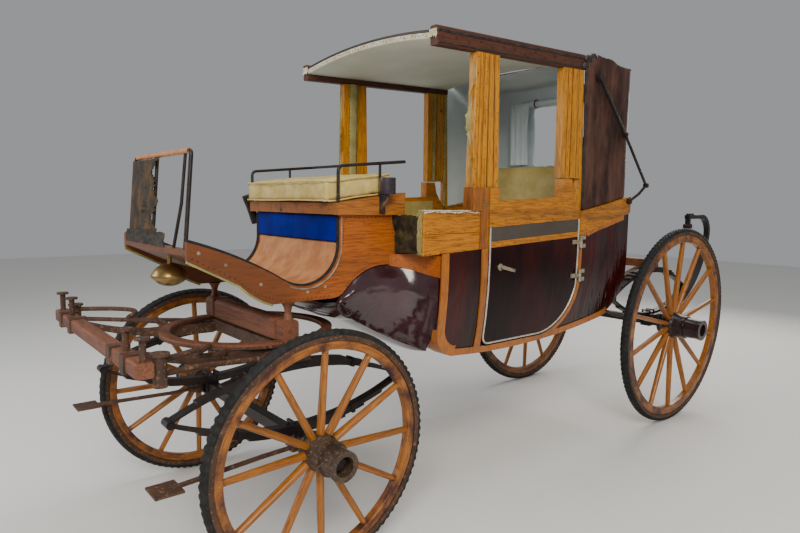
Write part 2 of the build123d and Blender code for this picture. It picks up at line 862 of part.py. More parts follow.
hood_wall = 22.0
hood_inner = hood_block(hood_wall)
with BuildPart() as hood:
    add(hood_block(0))
    add(hood_inner, mode=Mode.SUBTRACT)
    with Locations((at(-1752), 0, 1720)):
        Box(160, 2 * (half_width - 3 - hood_wall), 820, mode=Mode.SUBTRACT)
    add(hood_inner.moved(Location((60, 0, 0))), mode=Mode.SUBTRACT)
    add(hood_inner.moved(Location((0, 0, -80))), mode=Mode.SUBTRACT)
    with BuildSketch(Plane.YZ.offset(at(-2222))):
        with Locations((0, 1860)):
            RectangleRounded(300, 380, 30)
    extrude(amount=120, mode=Mode.SUBTRACT)
pieces["hood"] = hood.part

# Landau irons: jointed stays outside the hood
iron_y = half_width + 16.0
with BuildPart() as irons:
    add(
        rod(
            [
                (at(-1790), iron_y, 2100),
                (at(-2070), iron_y, 1818),
                (at(-2330), iron_y, 1536),
                (at(-2252), iron_y, 1484),
                (at(-2147), iron_y, 1438),
            ],
            8,
        )
    )
    seated = half_width - 3 + seat_gap
    for x, z, r, inner_y in (
        (-1790, 2100, 20, seated),
        (-2070, 1818, 13, iron_y - 12),
        (-2330, 1536, 14, iron_y - 12),
        (-2147, 1438, 16, half_width + 6 + seat_gap),
    ):
        middle_y = (inner_y + iron_y + 11) / 2
        with Locations(Location((at(x), middle_y, z), (90, 0, 0))):
            Cylinder(r, iron_y + 11 - inner_y)
    mirror(about=Plane.XZ)
pieces["landau_irons"] = irons.part

# Seats inside the cabin
cabin_half = half_width - 66.0
seat_top_z = 1150.0
bench_top_z = 1039.0
seat_back_profile = [
    (-2072, seat_top_z + seat_gap),
    (-1952, seat_top_z + seat_gap),
    (-1987, 1650),
    (-2082, 1666),
    (-2104, 1500),
]
pieces["rear_seat_back"] = strip(seat_back_profile, 0, cabin_half)
cushion_low = bench_top_z + seat_gap
with BuildPart() as rear_seat:
    with Locations((at(-1882), 0, (cushion_low + seat_top_z) / 2)):
        Box(480, 2 * cabin_half, seat_top_z - cushion_low)
pieces["rear_seat"] = rear_seat.part
with BuildPart() as seat_bench:
    with Locations((at(-1892), 0, bench_top_z - 160)):
        Box(440, 2 * cabin_half, 320)
    with Locations((at(-779), 0, bench_top_z - 160)):
        Box(210, 2 * cabin_half, 320)
    add(body_block(wall + 0.5), mode=Mode.INTERSECT)
pieces["seat_bench"] = seat_bench.part
with BuildPart() as front_seat:
    with Locations((at(body_front_x - wall - seat_gap - 100), 0, cushion_low + 45)):
        Box(200, 2 * cabin_half, 90)
pieces["front_seat"] = front_seat.part

# Doors: curved panel, and a rail whose recess takes the belt band
door_thick = wall + 6.0
door_inner = body_block(door_thick)
rail_low = [
    (door_rear_x - 60, belt(door_rear_x - 60)),
    (door_front_x + 60, belt(door_front_x + 60)),
    (door_front_x + 60, 1990),
    (door_rear_x - 60, 1990),
]
above_rail = strip(rail_low, 0, 700)
with BuildPart() as door_panel:
    add(shell_outer)
    add(door_inner, mode=Mode.SUBTRACT)
    add(above_rail, mode=Mode.SUBTRACT)
    extrude(door_face(door_front_x), amount=1400, mode=Mode.INTERSECT)
    with Locations((at(-1322), -135, 1000)):
        Box(900, 1200, 900, mode=Mode.SUBTRACT)
door_left = door_panel.part
rail_outline = [
    (door_rear_x, belt(door_rear_x) + joint_gap),
    (door_front_x, belt(door_front_x) + joint_gap),
    (door_front_x, block_top),
    (-1016, block_top),
    (-1016, belt(-1016) + band_height + rail_height),
    (-1518, belt(-1518) + band_height + rail_height),
    (-1518, 1548),
    (-1594, 1548),
    (-1610, 1480),
    (door_rear_x, 1380),
]
band_outline = [
    (door_rear_x - 1, belt(door_rear_x) + door_strip),
    (door_front_x + 1, belt(door_front_x) + door_strip),
    (door_front_x + 1, belt(door_front_x) + band_height),
    (door_rear_x - 1, belt(door_rear_x) + band_height),
]
with BuildPart() as rail:
    add(strip(rail_outline, half_width - 54, half_width, both=False))
    fillet(rail.edges().filter_by(Axis.Y).group_by(Axis.Z)[-2], radius=4)
    add(strip(band_outline, half_width - band_recess, half_width + 1, both=False), mode=Mode.SUBTRACT)
rail_left = rail.part
hinge_x = door_rear_x - door_gap / 2
hinge_y = half_width + hinge_knuckle_r + 5.5


def hinge_leaf(toward, low, high, bore):
    """Return knuckles with leaves let on to the body's side, for the left door."""
    with BuildPart() as leaf:
        for z in hinge_zs:
            for start, end in zip(low, high):
                middle = z + (start + end) / 2 * hinge_height
                tall = (end - start) * hinge_height
                with Locations((at(hinge_x), hinge_y, middle)):
                    Cylinder(hinge_knuckle_r, tall)
                with Locations((at(hinge_x + toward * 32), half_width - 5, middle)):
                    Box(64 - 2 * door_gap, 20, tall)
                with Locations((at(hinge_x + toward * 9), hinge_y - 7.5, middle)):
                    Box(18, 9, tall)
                with Locations((at(hinge_x), hinge_y, middle)):
                    Cylinder(bore, tall, mode=Mode.SUBTRACT)
        add(shell_outer, mode=Mode.SUBTRACT)
    return leaf.part


handle_place = (door_front_x - 84, 1112)
with BuildPart() as door_leaves:
    add(hinge_leaf(1, (-0.17,), (0.17,), hinge_pin_r + running_gap))
    with BuildSketch(side(half_width + 4)):
        with Locations((at(handle_place[0]), handle_place[1])):
            Circle(17)
    extrude(amount=8)
    with BuildSketch(side(half_width + 22)):
        with Locations((at(handle_place[0]), handle_place[1])):
            Circle(9)
    extrude(amount=24)
    with BuildSketch(side(half_width + 22)):
        with BuildLine():
            Polyline(
                *stations(
                    [
                        (handle_place[0], handle_place[1] + 9),
                        (handle_place[0], handle_place[1] - 9),
                        (handle_place[0] - 84, handle_place[1] - 28),
                        (handle_place[0] - 88, handle_place[1] - 14),
                    ]
                ),
                close=True,
            )
        make_face()
    extrude(amount=9)
    add(shell_outer, mode=Mode.SUBTRACT)
with BuildPart() as body_leaves:
    add(hinge_leaf(-1, (-0.5, 0.18), (-0.18, 0.5), hinge_pin_r - 1))
    for z in hinge_zs:
        with Locations((at(hinge_x), hinge_y, z)):
            Cylinder(hinge_pin_r, hinge_height)
    mirror(about=Plane.XZ)
pieces["body_hinges"] = body_leaves.part
pieces["door_left_hinges"] = door_leaves.part
pieces["door_right_hinges"] = mirror(door_leaves.part, about=Plane.XZ)
pieces["door_left"] = door_left
pieces["door_left_rail"] = rail_left
pieces["door_right"] = mirror(door_left, about=Plane.XZ)
pieces["door_right_rail"] = mirror(rail_left, about=Plane.XZ)

# Boot: the glossy swelling below the box seat, flaring out to the body
front = at(body_front_x) + 1
with BuildPart() as boot:
    with BuildSketch(side(700)) as boot_side:
        with BuildLine():
            Line((front, 722), (front, 1180))
            Line((front, 1180), (at(-532), 1200))
            Line((at(-532), 1200), (at(-532), seat_bottom_z - 1))
            Line((at(-532), seat_bottom_z - 1), (at(-260), seat_bottom_z - 1))
            Line((at(-260), seat_bottom_z - 1), (at(-260), 1062))
            ThreePointArc((at(-260), 1062), (at(-222), 975), (at(-322), 888))
            ThreePointArc((at(-322), 888), (at(-482), 803), (front, 722))
        make_face()
    extrude(amount=1400)
    with BuildSketch(Plane.XY.offset(600)):
        with BuildLine():
            ThreePointArc((at(-682), 470), (at(-462), 410), (at(-182), 380))
            Line((at(-182), 380), (at(-182), -380))
            ThreePointArc((at(-182), -380), (at(-462), -410), (at(-682), -470))
            Line((at(-682), -470), (at(-682), 470))
        make_face()
    extrude(amount=900, mode=Mode.INTERSECT)
    with BuildSketch(Plane.YZ.offset(at(-822))):
        with BuildLine():
            ThreePointArc((330, 640), (424, 880), (396, 1130))
            Polyline((396, 1130), (plate_y - plate_thick - 1, 1150), (plate_y - plate_thick - 1, 1400))
            Line((plate_y - plate_thick - 1, 1400), (-plate_y + plate_thick + 1, 1400))
            Polyline((-plate_y + plate_thick + 1, 1400), (-plate_y + plate_thick + 1, 1150), (-396, 1130))
            ThreePointArc((-396, 1130), (-424, 880), (-330, 640))
            Line((-330, 640), (330, 640))
        make_face()
    extrude(amount=900, mode=Mode.INTERSECT)

with BuildPart() as flare:
    with BuildSketch(Plane.XY.offset(660)):
        with BuildLine():
            Line((front, 0), (front, flare_y))
            ThreePointArc((front, flare_y), (at(-620), 468), (at(flare_start), 405))
            Line((at(flare_start), 405), (at(flare_start), 0))
            Line((at(flare_start), 0), (front, 0))
        make_face()
    extrude(amount=1176 - 660)
    with BuildSketch(Plane.YZ.offset(at(-822))):
        with BuildLine():
            ThreePointArc((290, 700), (440, 784), (556, 940))
            Polyline((556, 940), (556, 1176), (0, 1176), (0, 700), (290, 700))
        make_face()
    extrude(amount=900, mode=Mode.INTERSECT)
    extrude(boot_side.sketch, amount=1400, mode=Mode.INTERSECT)
    mirror(about=Plane.XZ)

# Side plates: one board each side, sweeping from the seat down over the boot to the footboard
plate_end = flare_y + flare_proud
with BuildPart() as plate_flare:
    with BuildSketch(Plane.XY.offset(1000)):
        with BuildLine():
            ThreePointArc((front, plate_end), (at(-606), 456), (at(-505), plate_y))
            Line((at(-505), plate_y), (at(-505), plate_y - plate_thick))
            ThreePointArc((at(-505), plate_y - plate_thick), (at(-621), 436), (front, plate_end - 30))
            Line((front, plate_end - 30), (front, plate_end))
        make_face()
    extrude(amount=200)
    plate_arch = [
        (body_front_x - 1, 1085),
        (-590, 1114),
        (-500, 1134),
        (-500, 1184),
        (body_front_x - 1, 1184),
    ]
    add(strip(plate_arch, 0, 700), mode=Mode.INTERSECT)
with BuildPart() as side_plates:
    with BuildSketch(side(plate_y)):
        with BuildLine():
            ThreePointArc((at(-517), seat_bottom_z), (at(-544), 1262), (at(-613), 1199))
            ThreePointArc((at(-613), 1199), (at(-642), 1182), (at(body_front_x + 2), 1176))
            Line((at(body_front_x + 2), 1176), (at(body_front_x + 2), 1085))
            ThreePointArc((at(body_front_x + 2), 1085), (at(-467), 1140), (at(-265), 1042))
            ThreePointArc((at(-265), 1042), (at(-240), 1022), (at(-202), plate_low))
            Line((at(-202), plate_low), (at(68), plate_low))
            ThreePointArc((at(68), plate_low), (at(140), 1046), (at(209), 1100))
            Line((at(209), 1100), (at(406), 1200))
            Line((at(406), 1200), (at(406), dash_foot_z + 28))
            ThreePointArc((at(406), dash_foot_z + 28), (at(208), 1196), (at(-2), 1088))
            ThreePointArc((at(-2), 1088), (at(-177), 1112), (at(-238), 1250))
            Line((at(-238), 1250), (at(-238), seat_bottom_z))
            Line((at(-238), seat_bottom_z), (at(-517), seat_bottom_z))
        make_face()
    extrude(amount=plate_thick)
    add(plate_flare.part)
    mirror(about=Plane.XZ)
pieces["side_plates"] = side_plates.part
with BuildPart() as boot_cut:
    add(boot.part)
    add(flare.part)
    add(side_plates.part, mode=Mode.SUBTRACT)
pieces["boot"] = boot_cut.part

# Footboard, leg well and its two linings between the plates
inside_y = plate_y - plate_thick
footboard_outline = [
    (2, 1066),
    (208, 1124),
    (406, 1214),
    (406, dash_foot_z - 2),
    (370, dash_foot_z - 2),
    (198, 1146),
    (-2, 1086),
]
with BuildPart() as footboard:
    with BuildSketch(side(inside_y)):
        with BuildLine():
            Polyline(
                *stations(footboard_outline),
                close=True,
            )
        make_face()
    extrude(amount=2 * inside_y)
pieces["footboard"] = footboard.part
with BuildPart() as riser:
    with Locations((at(-249), 0, 1302)):
        Box(20, 2 * inside_y, 112)
pieces["riser_panel"] = riser.part
with BuildPart() as apron:
    with BuildSketch(side(inside_y)):
        with BuildLine():
            Line((at(-239), 1245), (at(-258), 1245))
            ThreePointArc((at(-258), 1245), (at(-192), 1096), (at(-4), 1064))
            Line((at(-4), 1064), (at(-4), 1086))
            ThreePointArc((at(-4), 1086), (at(-176), 1112), (at(-239), 1245))
        make_face()
    extrude(amount=2 * inside_y)
    add(boot.part, mode=Mode.SUBTRACT)
pieces["leather_apron"] = apron.part

# Box seat: board and cheeks, cushion and iron rail
seat_cheek = [
    (seat_front_x, seat_bottom_z),
    (seat_rear_x, seat_bottom_z),
    (seat_rear_x, seat_rear_z),
    (seat_front_x, seat_front_z),
]
seat_top = [
    (seat_front_x, seat_front_z - board_thick),
    (seat_rear_x, seat_rear_z - board_thick),
    (seat_rear_x, seat_rear_z),
    (seat_front_x, seat_front_z),
]
with BuildPart() as seat_box:
    add(strip(seat_cheek, seat_half_width - 30, seat_half_width))
    add(strip(seat_top, 0, seat_half_width))
    with Locations((at(seat_front_x - 11), 0, (seat_bottom_z + seat_front_z) / 2)):
        Box(22, 2 * seat_half_width, seat_front_z - seat_bottom_z - 2)
pieces["seat_box"] = seat_box.part
cushion_outline = [
    (seat_front_x + 50, seat_z(seat_front_x) + 1),
    (seat_rear_x + 40, seat_z(seat_rear_x + 40) + 1),
    (seat_rear_x + 40, seat_z(seat_rear_x + 40) + cushion_thick),
    (seat_front_x + 50, seat_z(seat_front_x) + cushion_thick),
]
pieces["box_cushion"] = strip(cushion_outline, 0, seat_half_width - 26)

rail_y = seat_half_width - 12.0
rail_front = seat_front_x + 6.0
rail_rear = seat_rear_x - 14.0
with BuildPart() as seat_rail:
    add(
        bent_rod(
            [
                (at(rail_front - 14), rail_y, seat_z(rail_front - 14) + 1.5),
                (at(rail_front - 14), rail_y, seat_z(rail_front) + rail_rise),
                (at(rail_rear), rail_y, seat_z(rail_rear) + rail_rise - 16),
                (at(rail_rear), -rail_y, seat_z(rail_rear) + rail_rise - 16),
                (at(rail_front - 14), -rail_y, seat_z(rail_front) + rail_rise),
                (at(rail_front - 14), -rail_y, seat_z(rail_front - 14) + 1.5),
            ],
            rail_rod_r,
            24.0,
        )
    )
    for y in (-rail_y, rail_y):
        with Locations((at(-436), y, seat_z(-436) + rail_rise / 2 - 3)):
            Cylinder(rail_rod_r - 1, rail_rise - 8)
pieces["seat_rail"] = seat_rail.part

# Lamp sockets on their stays
lamp_y = seat_half_width + lamp_bore_r + lamp_wall
with BuildPart() as lamp_sockets:
    for y in (lamp_y, -lamp_y):
        with Locations((at(-440), y, 1484)):
            Cylinder(lamp_bore_r + lamp_wall, 70)
            Cylinder(lamp_bore_r, 70, mode=Mode.SUBTRACT)
    for sign in (-1, 1):
        with Locations((at(-440), sign * (seat_half_width + lamp_wall / 2), 1440)):
            Box(30, lamp_wall, 150)
pieces["lamp_sockets"] = lamp_sockets.part

# Dash: iron frame and the leather left in it
dash_top_x = dash_x - dash_lean


def dash_at(z):
    """Return the station of the leaning dash at a height."""
    return dash_x + (dash_top_x - dash_x) * (z - dash_foot_z) / (dash_top_z - dash_foot_z)


with BuildPart() as dash_frame:
    add(
        bent_rod(
            [
                (at(dash_at(dash_foot_z - 1)), dash_half_width, dash_foot_z - 1),
                (at(dash_top_x), dash_half_width, dash_top_z),
                (at(dash_top_x), -dash_half_width, dash_top_z),
                (at(dash_at(dash_foot_z - 1)), -dash_half_width, dash_foot_z - 1),
            ],
            8,
            16.0,
        )
    )
    add(
        rod(
            [
                (at(dash_x), -42, dash_foot_z - 1),
                (at(dash_top_x), -42, dash_top_z),
            ],
            7,
        )
    )
    add(
        rod(
            [
                (at(dash_x), 200, dash_foot_z - 1),
                (at(dash_at(1400)), 252, 1400),
                (at(dash_top_x), 262, dash_top_z),
            ],
            6,
        )
    )
pieces["dash_frame"] = dash_frame.part
with BuildPart() as dash_leather:
    with BuildSketch(Plane(origin=(at(dash_x) + 9, 0, dash_foot_z), x_dir=(0, 1, 0), z_dir=(1, 0, dash_lean / 352))):
        with BuildLine():
            Polyline(
                (-dash_half_width, 4),
                (150, 4),
                (120, 46),
                (20, 56),
                (85, 176),
                (40, 330),
                (-dash_half_width + 14, 335),
                (-dash_half_width, 300),
                close=True,
            )
        make_face()
    extrude(amount=6)
pieces["dash_leather"] = dash_leather.part

# Foot gong under the footboard
gong_x = at(338)
gong_z = 1106.0
gong_r = 73.0
with BuildPart() as gong:
    with BuildSketch(Plane.XZ):
        with BuildLine():
            TangentArc((gong_x, gong_z + 52), (gong_x + gong_r, gong_z + 4), tangent=(1, 0))
            Line((gong_x + gong_r, gong_z + 4), (gong_x + gong_r, gong_z - 4))
            TangentArc((gong_x, gong_z - 42), (gong_x + gong_r, gong_z - 4), tangent=(1, 0))
            Line((gong_x, gong_z - 42), (gong_x, gong_z + 52))
        make_face()
    revolve(axis=Axis((gong_x, 0, 0), (0, 0, 1)))
    with Locations((gong_x, 0, gong_z + 59)):
        Cylinder(9, 48)
    add(footboard.part, mode=Mode.SUBTRACT)
pieces["foot_gong"] = gong.part

# Rear of the carriage: body loops, cross bar on the springs, and the C springs behind
bar_depth = 52.0
with BuildPart() as body_loops:
    with BuildSketch(side(handle_y + 20)):
        with BuildLine():
            Line((back(-40), rear_spring_top - 44), (back(40), rear_spring_top - 44))
            ThreePointArc((back(40), rear_spring_top - 44), (back(350), 870), (back(640), 760))
            Line((back(640), 760), (back(620), 850))
            ThreePointArc((back(620), 850), (back(380), 925), (back(60), rear_spring_top))
            Line((back(60), rear_spring_top), (back(-40), rear_spring_top))
            Line((back(-40), rear_spring_top), (back(-40), rear_spring_top - 44))
        make_face()
    extrude(amount=40)
    stay_top = (back(axle_depth / 2 + seat_gap + 9), handle_y, rear_axle_z)
    add(rod([stay_top, (back(330), handle_y, 706), (back(600), handle_y, 800)], 9))
    with Locations((back(axle_depth / 2 + seat_gap + 5), handle_y, rear_axle_z)):
        Box(10, 40, 30)
    add(shell_outer, mode=Mode.SUBTRACT)
    mirror(about=Plane.XZ)
pieces["body_loops"] = body_loops.part
with BuildPart() as rear_bar:
    with Locations((back(8), 0, rear_spring_top + bar_depth / 2)):
        Box(64, 2 * 470, bar_depth)
    with Locations((back(285), 0, rear_spring_top + bar_depth / 2)):
        Box(500, 56, bar_depth - 8)
    add(shell_outer, mode=Mode.SUBTRACT)
pieces["rear_bar"] = rear_bar.part

c_base_z = rear_axle_z + axle_depth / 2 + c_spring_thick / 2 + joint_gap
c_side = c_spring_rear - 40.0 - c_spring_curl
c_turn = 2 * degrees(atan2(c_spring_top - c_base_z - 2 * c_spring_curl, c_side))
c_radius = c_side / sin(radians(c_turn)) + c_spring_curl
with BuildPart() as c_springs:
    with BuildLine(side(c_spring_y)) as curl:
        Line((back(44), c_base_z), (back(-40), c_base_z))
        JernArc((back(-40), c_base_z), (-1, 0), c_radius, -c_turn)
        JernArc(curl.line @ 1, curl.line % 1, c_spring_curl, c_turn - 180)
        Line(curl.line @ 1, (back(-374), c_spring_top))
    with BuildSketch(Plane(origin=curl.line @ 0, x_dir=(0, 1, 0), z_dir=curl.line % 0)):
        Rectangle(c_spring_width, c_spring_thick)
    sweep()
    with Locations((back(-392), c_spring_y, c_spring_top - 38)):
        Box(22, 30, 70)
    for shackle_x in (-392, -446):
        with Locations((back(shackle_x), c_spring_y, c_spring_top + c_spring_thick / 2 + 4)):
            Cylinder(13, 12)
    with Locations(Location((back(-392), c_spring_y, c_spring_top - 66), (90, 0, 0))):
        Cylinder(17, 52)
    mirror(about=Plane.XZ)
pieces["c_springs"] = c_springs.part

for node, piece in pieces.items():
    piece.label = node
os.makedirs("parts", exist_ok=True)
for node, piece in pieces.items():
    export_step(piece, f"parts/{node}.step")
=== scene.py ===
"""Dress the landau carriage: timber, varnish, leather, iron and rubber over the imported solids.

Metres. +X is the way the carriage travels, +Y its left side, +Z up. Stations along the
length are written in millimetres forward from the rear axle, as a coachbuilder would.
"""

import json
import logging
from dataclasses import KW_ONLY, dataclass
from enum import Enum
from math import cos, hypot, pi, radians, sin
from typing import Callable, Iterable, Sequence

import bmesh
import bpy
from mathutils import Matrix, Quaternion, Vector, noise

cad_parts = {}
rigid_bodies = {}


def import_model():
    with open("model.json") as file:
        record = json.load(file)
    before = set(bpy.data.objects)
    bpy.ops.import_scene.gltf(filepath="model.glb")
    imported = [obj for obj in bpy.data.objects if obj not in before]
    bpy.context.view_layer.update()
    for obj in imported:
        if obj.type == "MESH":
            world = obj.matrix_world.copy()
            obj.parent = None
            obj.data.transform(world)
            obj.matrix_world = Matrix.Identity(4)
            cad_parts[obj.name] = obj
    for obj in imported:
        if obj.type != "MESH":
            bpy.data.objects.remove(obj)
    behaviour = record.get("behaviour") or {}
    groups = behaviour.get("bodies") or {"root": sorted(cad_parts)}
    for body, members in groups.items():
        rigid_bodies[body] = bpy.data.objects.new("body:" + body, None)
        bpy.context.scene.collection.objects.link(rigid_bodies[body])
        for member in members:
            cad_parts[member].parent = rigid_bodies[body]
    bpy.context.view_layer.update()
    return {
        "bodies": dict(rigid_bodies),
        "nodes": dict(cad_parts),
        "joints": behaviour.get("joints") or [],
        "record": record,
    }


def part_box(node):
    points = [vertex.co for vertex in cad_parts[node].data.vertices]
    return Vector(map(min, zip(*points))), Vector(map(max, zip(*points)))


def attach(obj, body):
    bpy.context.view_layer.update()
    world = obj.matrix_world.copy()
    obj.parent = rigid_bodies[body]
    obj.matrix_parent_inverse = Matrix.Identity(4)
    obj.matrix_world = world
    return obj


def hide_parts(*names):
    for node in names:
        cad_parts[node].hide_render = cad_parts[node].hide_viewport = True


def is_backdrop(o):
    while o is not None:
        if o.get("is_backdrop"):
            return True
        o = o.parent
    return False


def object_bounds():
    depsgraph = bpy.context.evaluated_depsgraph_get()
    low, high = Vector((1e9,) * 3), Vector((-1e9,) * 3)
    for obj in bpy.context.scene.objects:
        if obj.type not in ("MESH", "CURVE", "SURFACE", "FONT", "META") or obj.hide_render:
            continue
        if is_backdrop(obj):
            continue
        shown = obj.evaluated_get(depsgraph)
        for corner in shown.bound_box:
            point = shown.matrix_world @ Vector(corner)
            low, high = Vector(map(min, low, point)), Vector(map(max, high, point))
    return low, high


LOG = logging.getLogger("landau")
FRAME: dict = {}
Pair = tuple[float, float]
Color = Point = tuple[float, float, float]
Line = Sequence[Pair]
Rule = Callable[[float, float], Vector]
Shape = bmesh.types.BMesh
Socket = bpy.types.NodeSocket
Node = bpy.types.Node

UP = Vector((0, 0, 1))
OUTWARD = Vector((0, 1, 0))
WELD = 1e-6
SHARP_ANGLE = radians(38)
CLOTH_STEPS = 20
CLOTH_PRESSURE = 4.0
COAT_ROUGHNESS = 0.12
ROUGH_SPAN = 0.15
RIPPLE_STRETCH = (9.0, 3.0, 2.2)
GRIME = (0.03, 0.015, 0.01, 1)
TRODDEN = (0.095, 0.030, 0.011, 1)
RIM_PAINT = (0.045, 0.009, 0.006, 1)


class Side(Enum):
    """The two sides of the carriage, as the sign of Y."""

    LEFT = 1
    RIGHT = -1

    @property
    def word(self) -> str:
        """Return the side's name in lower case."""
        return self.name.lower()


class Grain(Enum):
    """The axis along which a board's grain runs, as the stretch of its pattern."""

    ALONG_X = (2.2, 34.0, 34.0)
    ALONG_Y = (34.0, 2.2, 34.0)
    ALONG_Z = (34.0, 34.0, 2.2)


def mm(x: float, y: float, z: float) -> Vector:
    """Return the row point of a station, a half width and a height in millimetres."""
    return Vector((FRAME["rear_axle_x"] + x / 1000.0, y / 1000.0, z / 1000.0))


# Shader nodes


@dataclass(frozen=True)
class Net:
    """A node tree with short ways to add its nodes and join them."""

    tree: bpy.types.NodeTree

    def join(self, value: object, socket: Socket) -> None:
        """Link a socket to another one, or set it to a value.

        Args:
            value: The other socket or the value.
            socket: The input that takes it.
        """
        if isinstance(value, bpy.types.NodeSocket):
            self.tree.links.new(value, socket)
        else:
            socket.default_value = value

    def add(self, kind: str, inputs: dict, **settings: object) -> Node:
        """Add a node.

        Args:
            kind: Its type, without the leading ShaderNode.
            inputs: What each input, by name or number, is joined to or set to.
            settings: The node's own properties.

        Returns:
            The node.
        """
        node = self.tree.nodes.new(f"ShaderNode{kind}")
        for label, value in settings.items():
            setattr(node, label, value)
        for label, value in inputs.items():
            self.join(value, node.inputs[label])
        return node

    def maths(self, operation: str, *values: object, clamp: bool = False) -> Socket:
        """Return the result of a sum on numbers and sockets."""
        return self.add("Math", dict(enumerate(values)), operation=operation, use_clamp=clamp).outputs[0]

    def noise(self, vector: Socket, scale: object, detail: float, rough: float) -> Socket:
        """Return the value of a noise texture."""
        inputs = {"Vector": vector, "Scale": scale, "Detail": detail, "Roughness": rough}
        return self.add("TexNoise", inputs).outputs["Fac"]

    def mapped(self, coords: Socket, stretch: Point) -> Socket:
        """Return coordinates stretched along their axes."""
        return self.add("Mapping", {"Vector": coords, "Scale": stretch}).outputs[0]

    def ramp(self, value: Socket, low: float, high: float, ends: Pair = (0, 1)) -> Socket:
        """Spread a value between two stops.

        Args:
            value: What is spread.
            low: Where the first stop lies.
            high: Where the second stop lies.
            ends: The grey of each stop.

        Returns:
            The spread value.
        """
        node = self.add("ValToRGB", {0: value})
        for element, place, tone in zip(node.color_ramp.elements, (low, high), ends):
            element.position = place
            element.color = (tone, tone, tone, 1)
        return node.outputs[0]

    def mix(self, share: Socket, first: Socket, second: Socket) -> Socket:
        """Return two colours mixed by a share."""
        return self.add("Mix", {0: share, 6: first, 7: second}, data_type="RGBA").outputs[2]


@dataclass(frozen=True)
class Effect:
    """A shader group that several finishes share, with its sockets written as name:type."""

    name: str
    inputs: str
    outputs: str
    rule: Callable[[Net, dict], Sequence[Socket]]

    def make(self) -> bpy.types.NodeTree:
        """Return the new group, with its sockets and the nodes that its rule adds."""
        tree = bpy.data.node_groups.new(self.name, "ShaderNodeTree")
        for way, labels in (("INPUT", self.inputs), ("OUTPUT", self.outputs)):
            for label in labels.split():
                word, kind = label.split(":")
                tree.interface.new_socket(word, in_out=way, socket_type=f"NodeSocket{kind}")
        entry, leave = tree.nodes.new("NodeGroupInput"), tree.nodes.new("NodeGroupOutput")
        net = Net(tree)
        for socket, value in zip(leave.inputs, self.rule(net, entry.outputs)):
            net.join(value, socket)
        return tree

    def place(self, net: Net, **values: object) -> Node:
        """Add the group to a material and feed its inputs."""
        return net.add("Group", values, node_tree=bpy.data.node_groups.get(self.name) or self.make())


def board_rule(net: Net, given: dict) -> tuple[Socket, ...]:
    """Make timber of stretched rings, pores, stains and knots.

    Args:
        net: The group's own net.
        given: The group's inputs by name.

    Returns:
        The colour, the height and the stain's mask.
    """
    vector = given["Vector"]
    knots = net.add("TexVoronoi", {"Vector": given["Place"], "Scale": 6.5}).outputs["Distance"]
    rings = net.maths("PINGPONG", net.noise(vector, 1.0, 4.0, 0.6), 0.06)
    height = net.maths("MULTIPLY_ADD", rings, 9.0, net.noise(vector, 6.0, 5.0, 0.7))
    body = net.mix(net.ramp(height, 0.30, 0.86), given["Dark"], given["Light"])
    patches = net.ramp(net.noise(vector, 0.35, 6.0, 0.65), 0.50, 0.78)
    stain = net.maths("MULTIPLY", patches, given["Stain"])
    dirt = net.maths("MULTIPLY_ADD", net.ramp(knots, 0.03, 0.10, (1, 0)), 0.75, stain, clamp=True)
    return net.mix(dirt, body, given["Grime"]), height, stain


def paint_rule(net: Net, given: dict) -> tuple[Socket, ...]:
    """Return a colour with paint laid over it, and pass the height and the paint's share on."""
    return net.mix(given["Share"], given["Under"], given["Paint"]), given["Height"], given["Share"]


def coat_rule(net: Net, given: dict) -> tuple[Socket, ...]:
    """Make a coat that is clouded and worn in patches.

    Args:
        net: The group's own net.
        given: The group's inputs by name.

    Returns:
        The colour, the height and the bare patches' mask.
    """
    vector, scale = given["Vector"], given["Scale"]
    cloud = net.ramp(net.noise(vector, scale, 5.0, 0.6), 0.38, 0.68)
    chips = net.noise(vector, net.maths("MULTIPLY", scale, 5.0), 8.0, 0.75)
    worn = net.maths("GREATER_THAN", chips, net.maths("SUBTRACT", 0.78, given["Wear"]))
    return net.mix(worn, net.mix(cloud, given["Coat"], given["Second"]), given["Bare"]), chips, worn


def hide_rule(net: Net, given: dict) -> tuple[Socket, ...]:
    """Make leather with pebbles and rubbed streaks.

    Args:
        net: The group's own net.
        given: The group's inputs by name.

    Returns:
        The colour, the height and the streaks' mask.
    """
    vector = given["Vector"]
    pull = net.add("VectorMath", {0: vector, 1: given["Stretch"]}, operation="MULTIPLY").outputs[0]
    streak = net.noise(pull, 3.0, 7.0, 0.62)
    cells = net.add("TexVoronoi", {"Vector": vector, "Scale": given["Cell"]}, feature="DISTANCE_TO_EDGE")
    tone = net.ramp(streak, 0.40, 0.66)
    height = net.maths("MULTIPLY_ADD", cells.outputs["Distance"], 0.35, streak)
    return net.mix(tone, given["Hide"], given["Rubbed"]), height, tone


def hub_rule(net: Net, given: dict) -> tuple[Socket, ...]:
    """Bend coordinates along each spoke and round the rim.

    Args:
        net: The group's own net.
        given: The group's inputs by name.

    Returns:
        The coordinates and the rim's mask.
    """
    from_hub = net.add("VectorMath", {0: given["Vector"], 1: given["Centre"]}, operation="SUBTRACT").outputs[0]
    x, y, z = net.add("SeparateXYZ", {0: from_hub}).outputs
    turn = net.maths("ARCTAN2", z, x)
    out = net.maths("SQRT", net.maths("ADD", net.maths("POWER", x, 2.0), net.maths("POWER", z, 2.0)))
    on_rim = net.maths("GREATER_THAN", out, given["Rim"])
    bent = []
    for round_it, along_it in ((8.0, 1.8), (1.1, 26.0)):
        parts = [net.maths("MULTIPLY", *pair) for pair in ((turn, round_it), (y, 26.0), (out, along_it))]
        bent.append(net.add("CombineXYZ", dict(enumerate(parts))).outputs[0])
    return net.add("Mix", {0: on_rim, 4: bent[0], 5: bent[1]}, data_type="VECTOR").outputs[1], on_rim


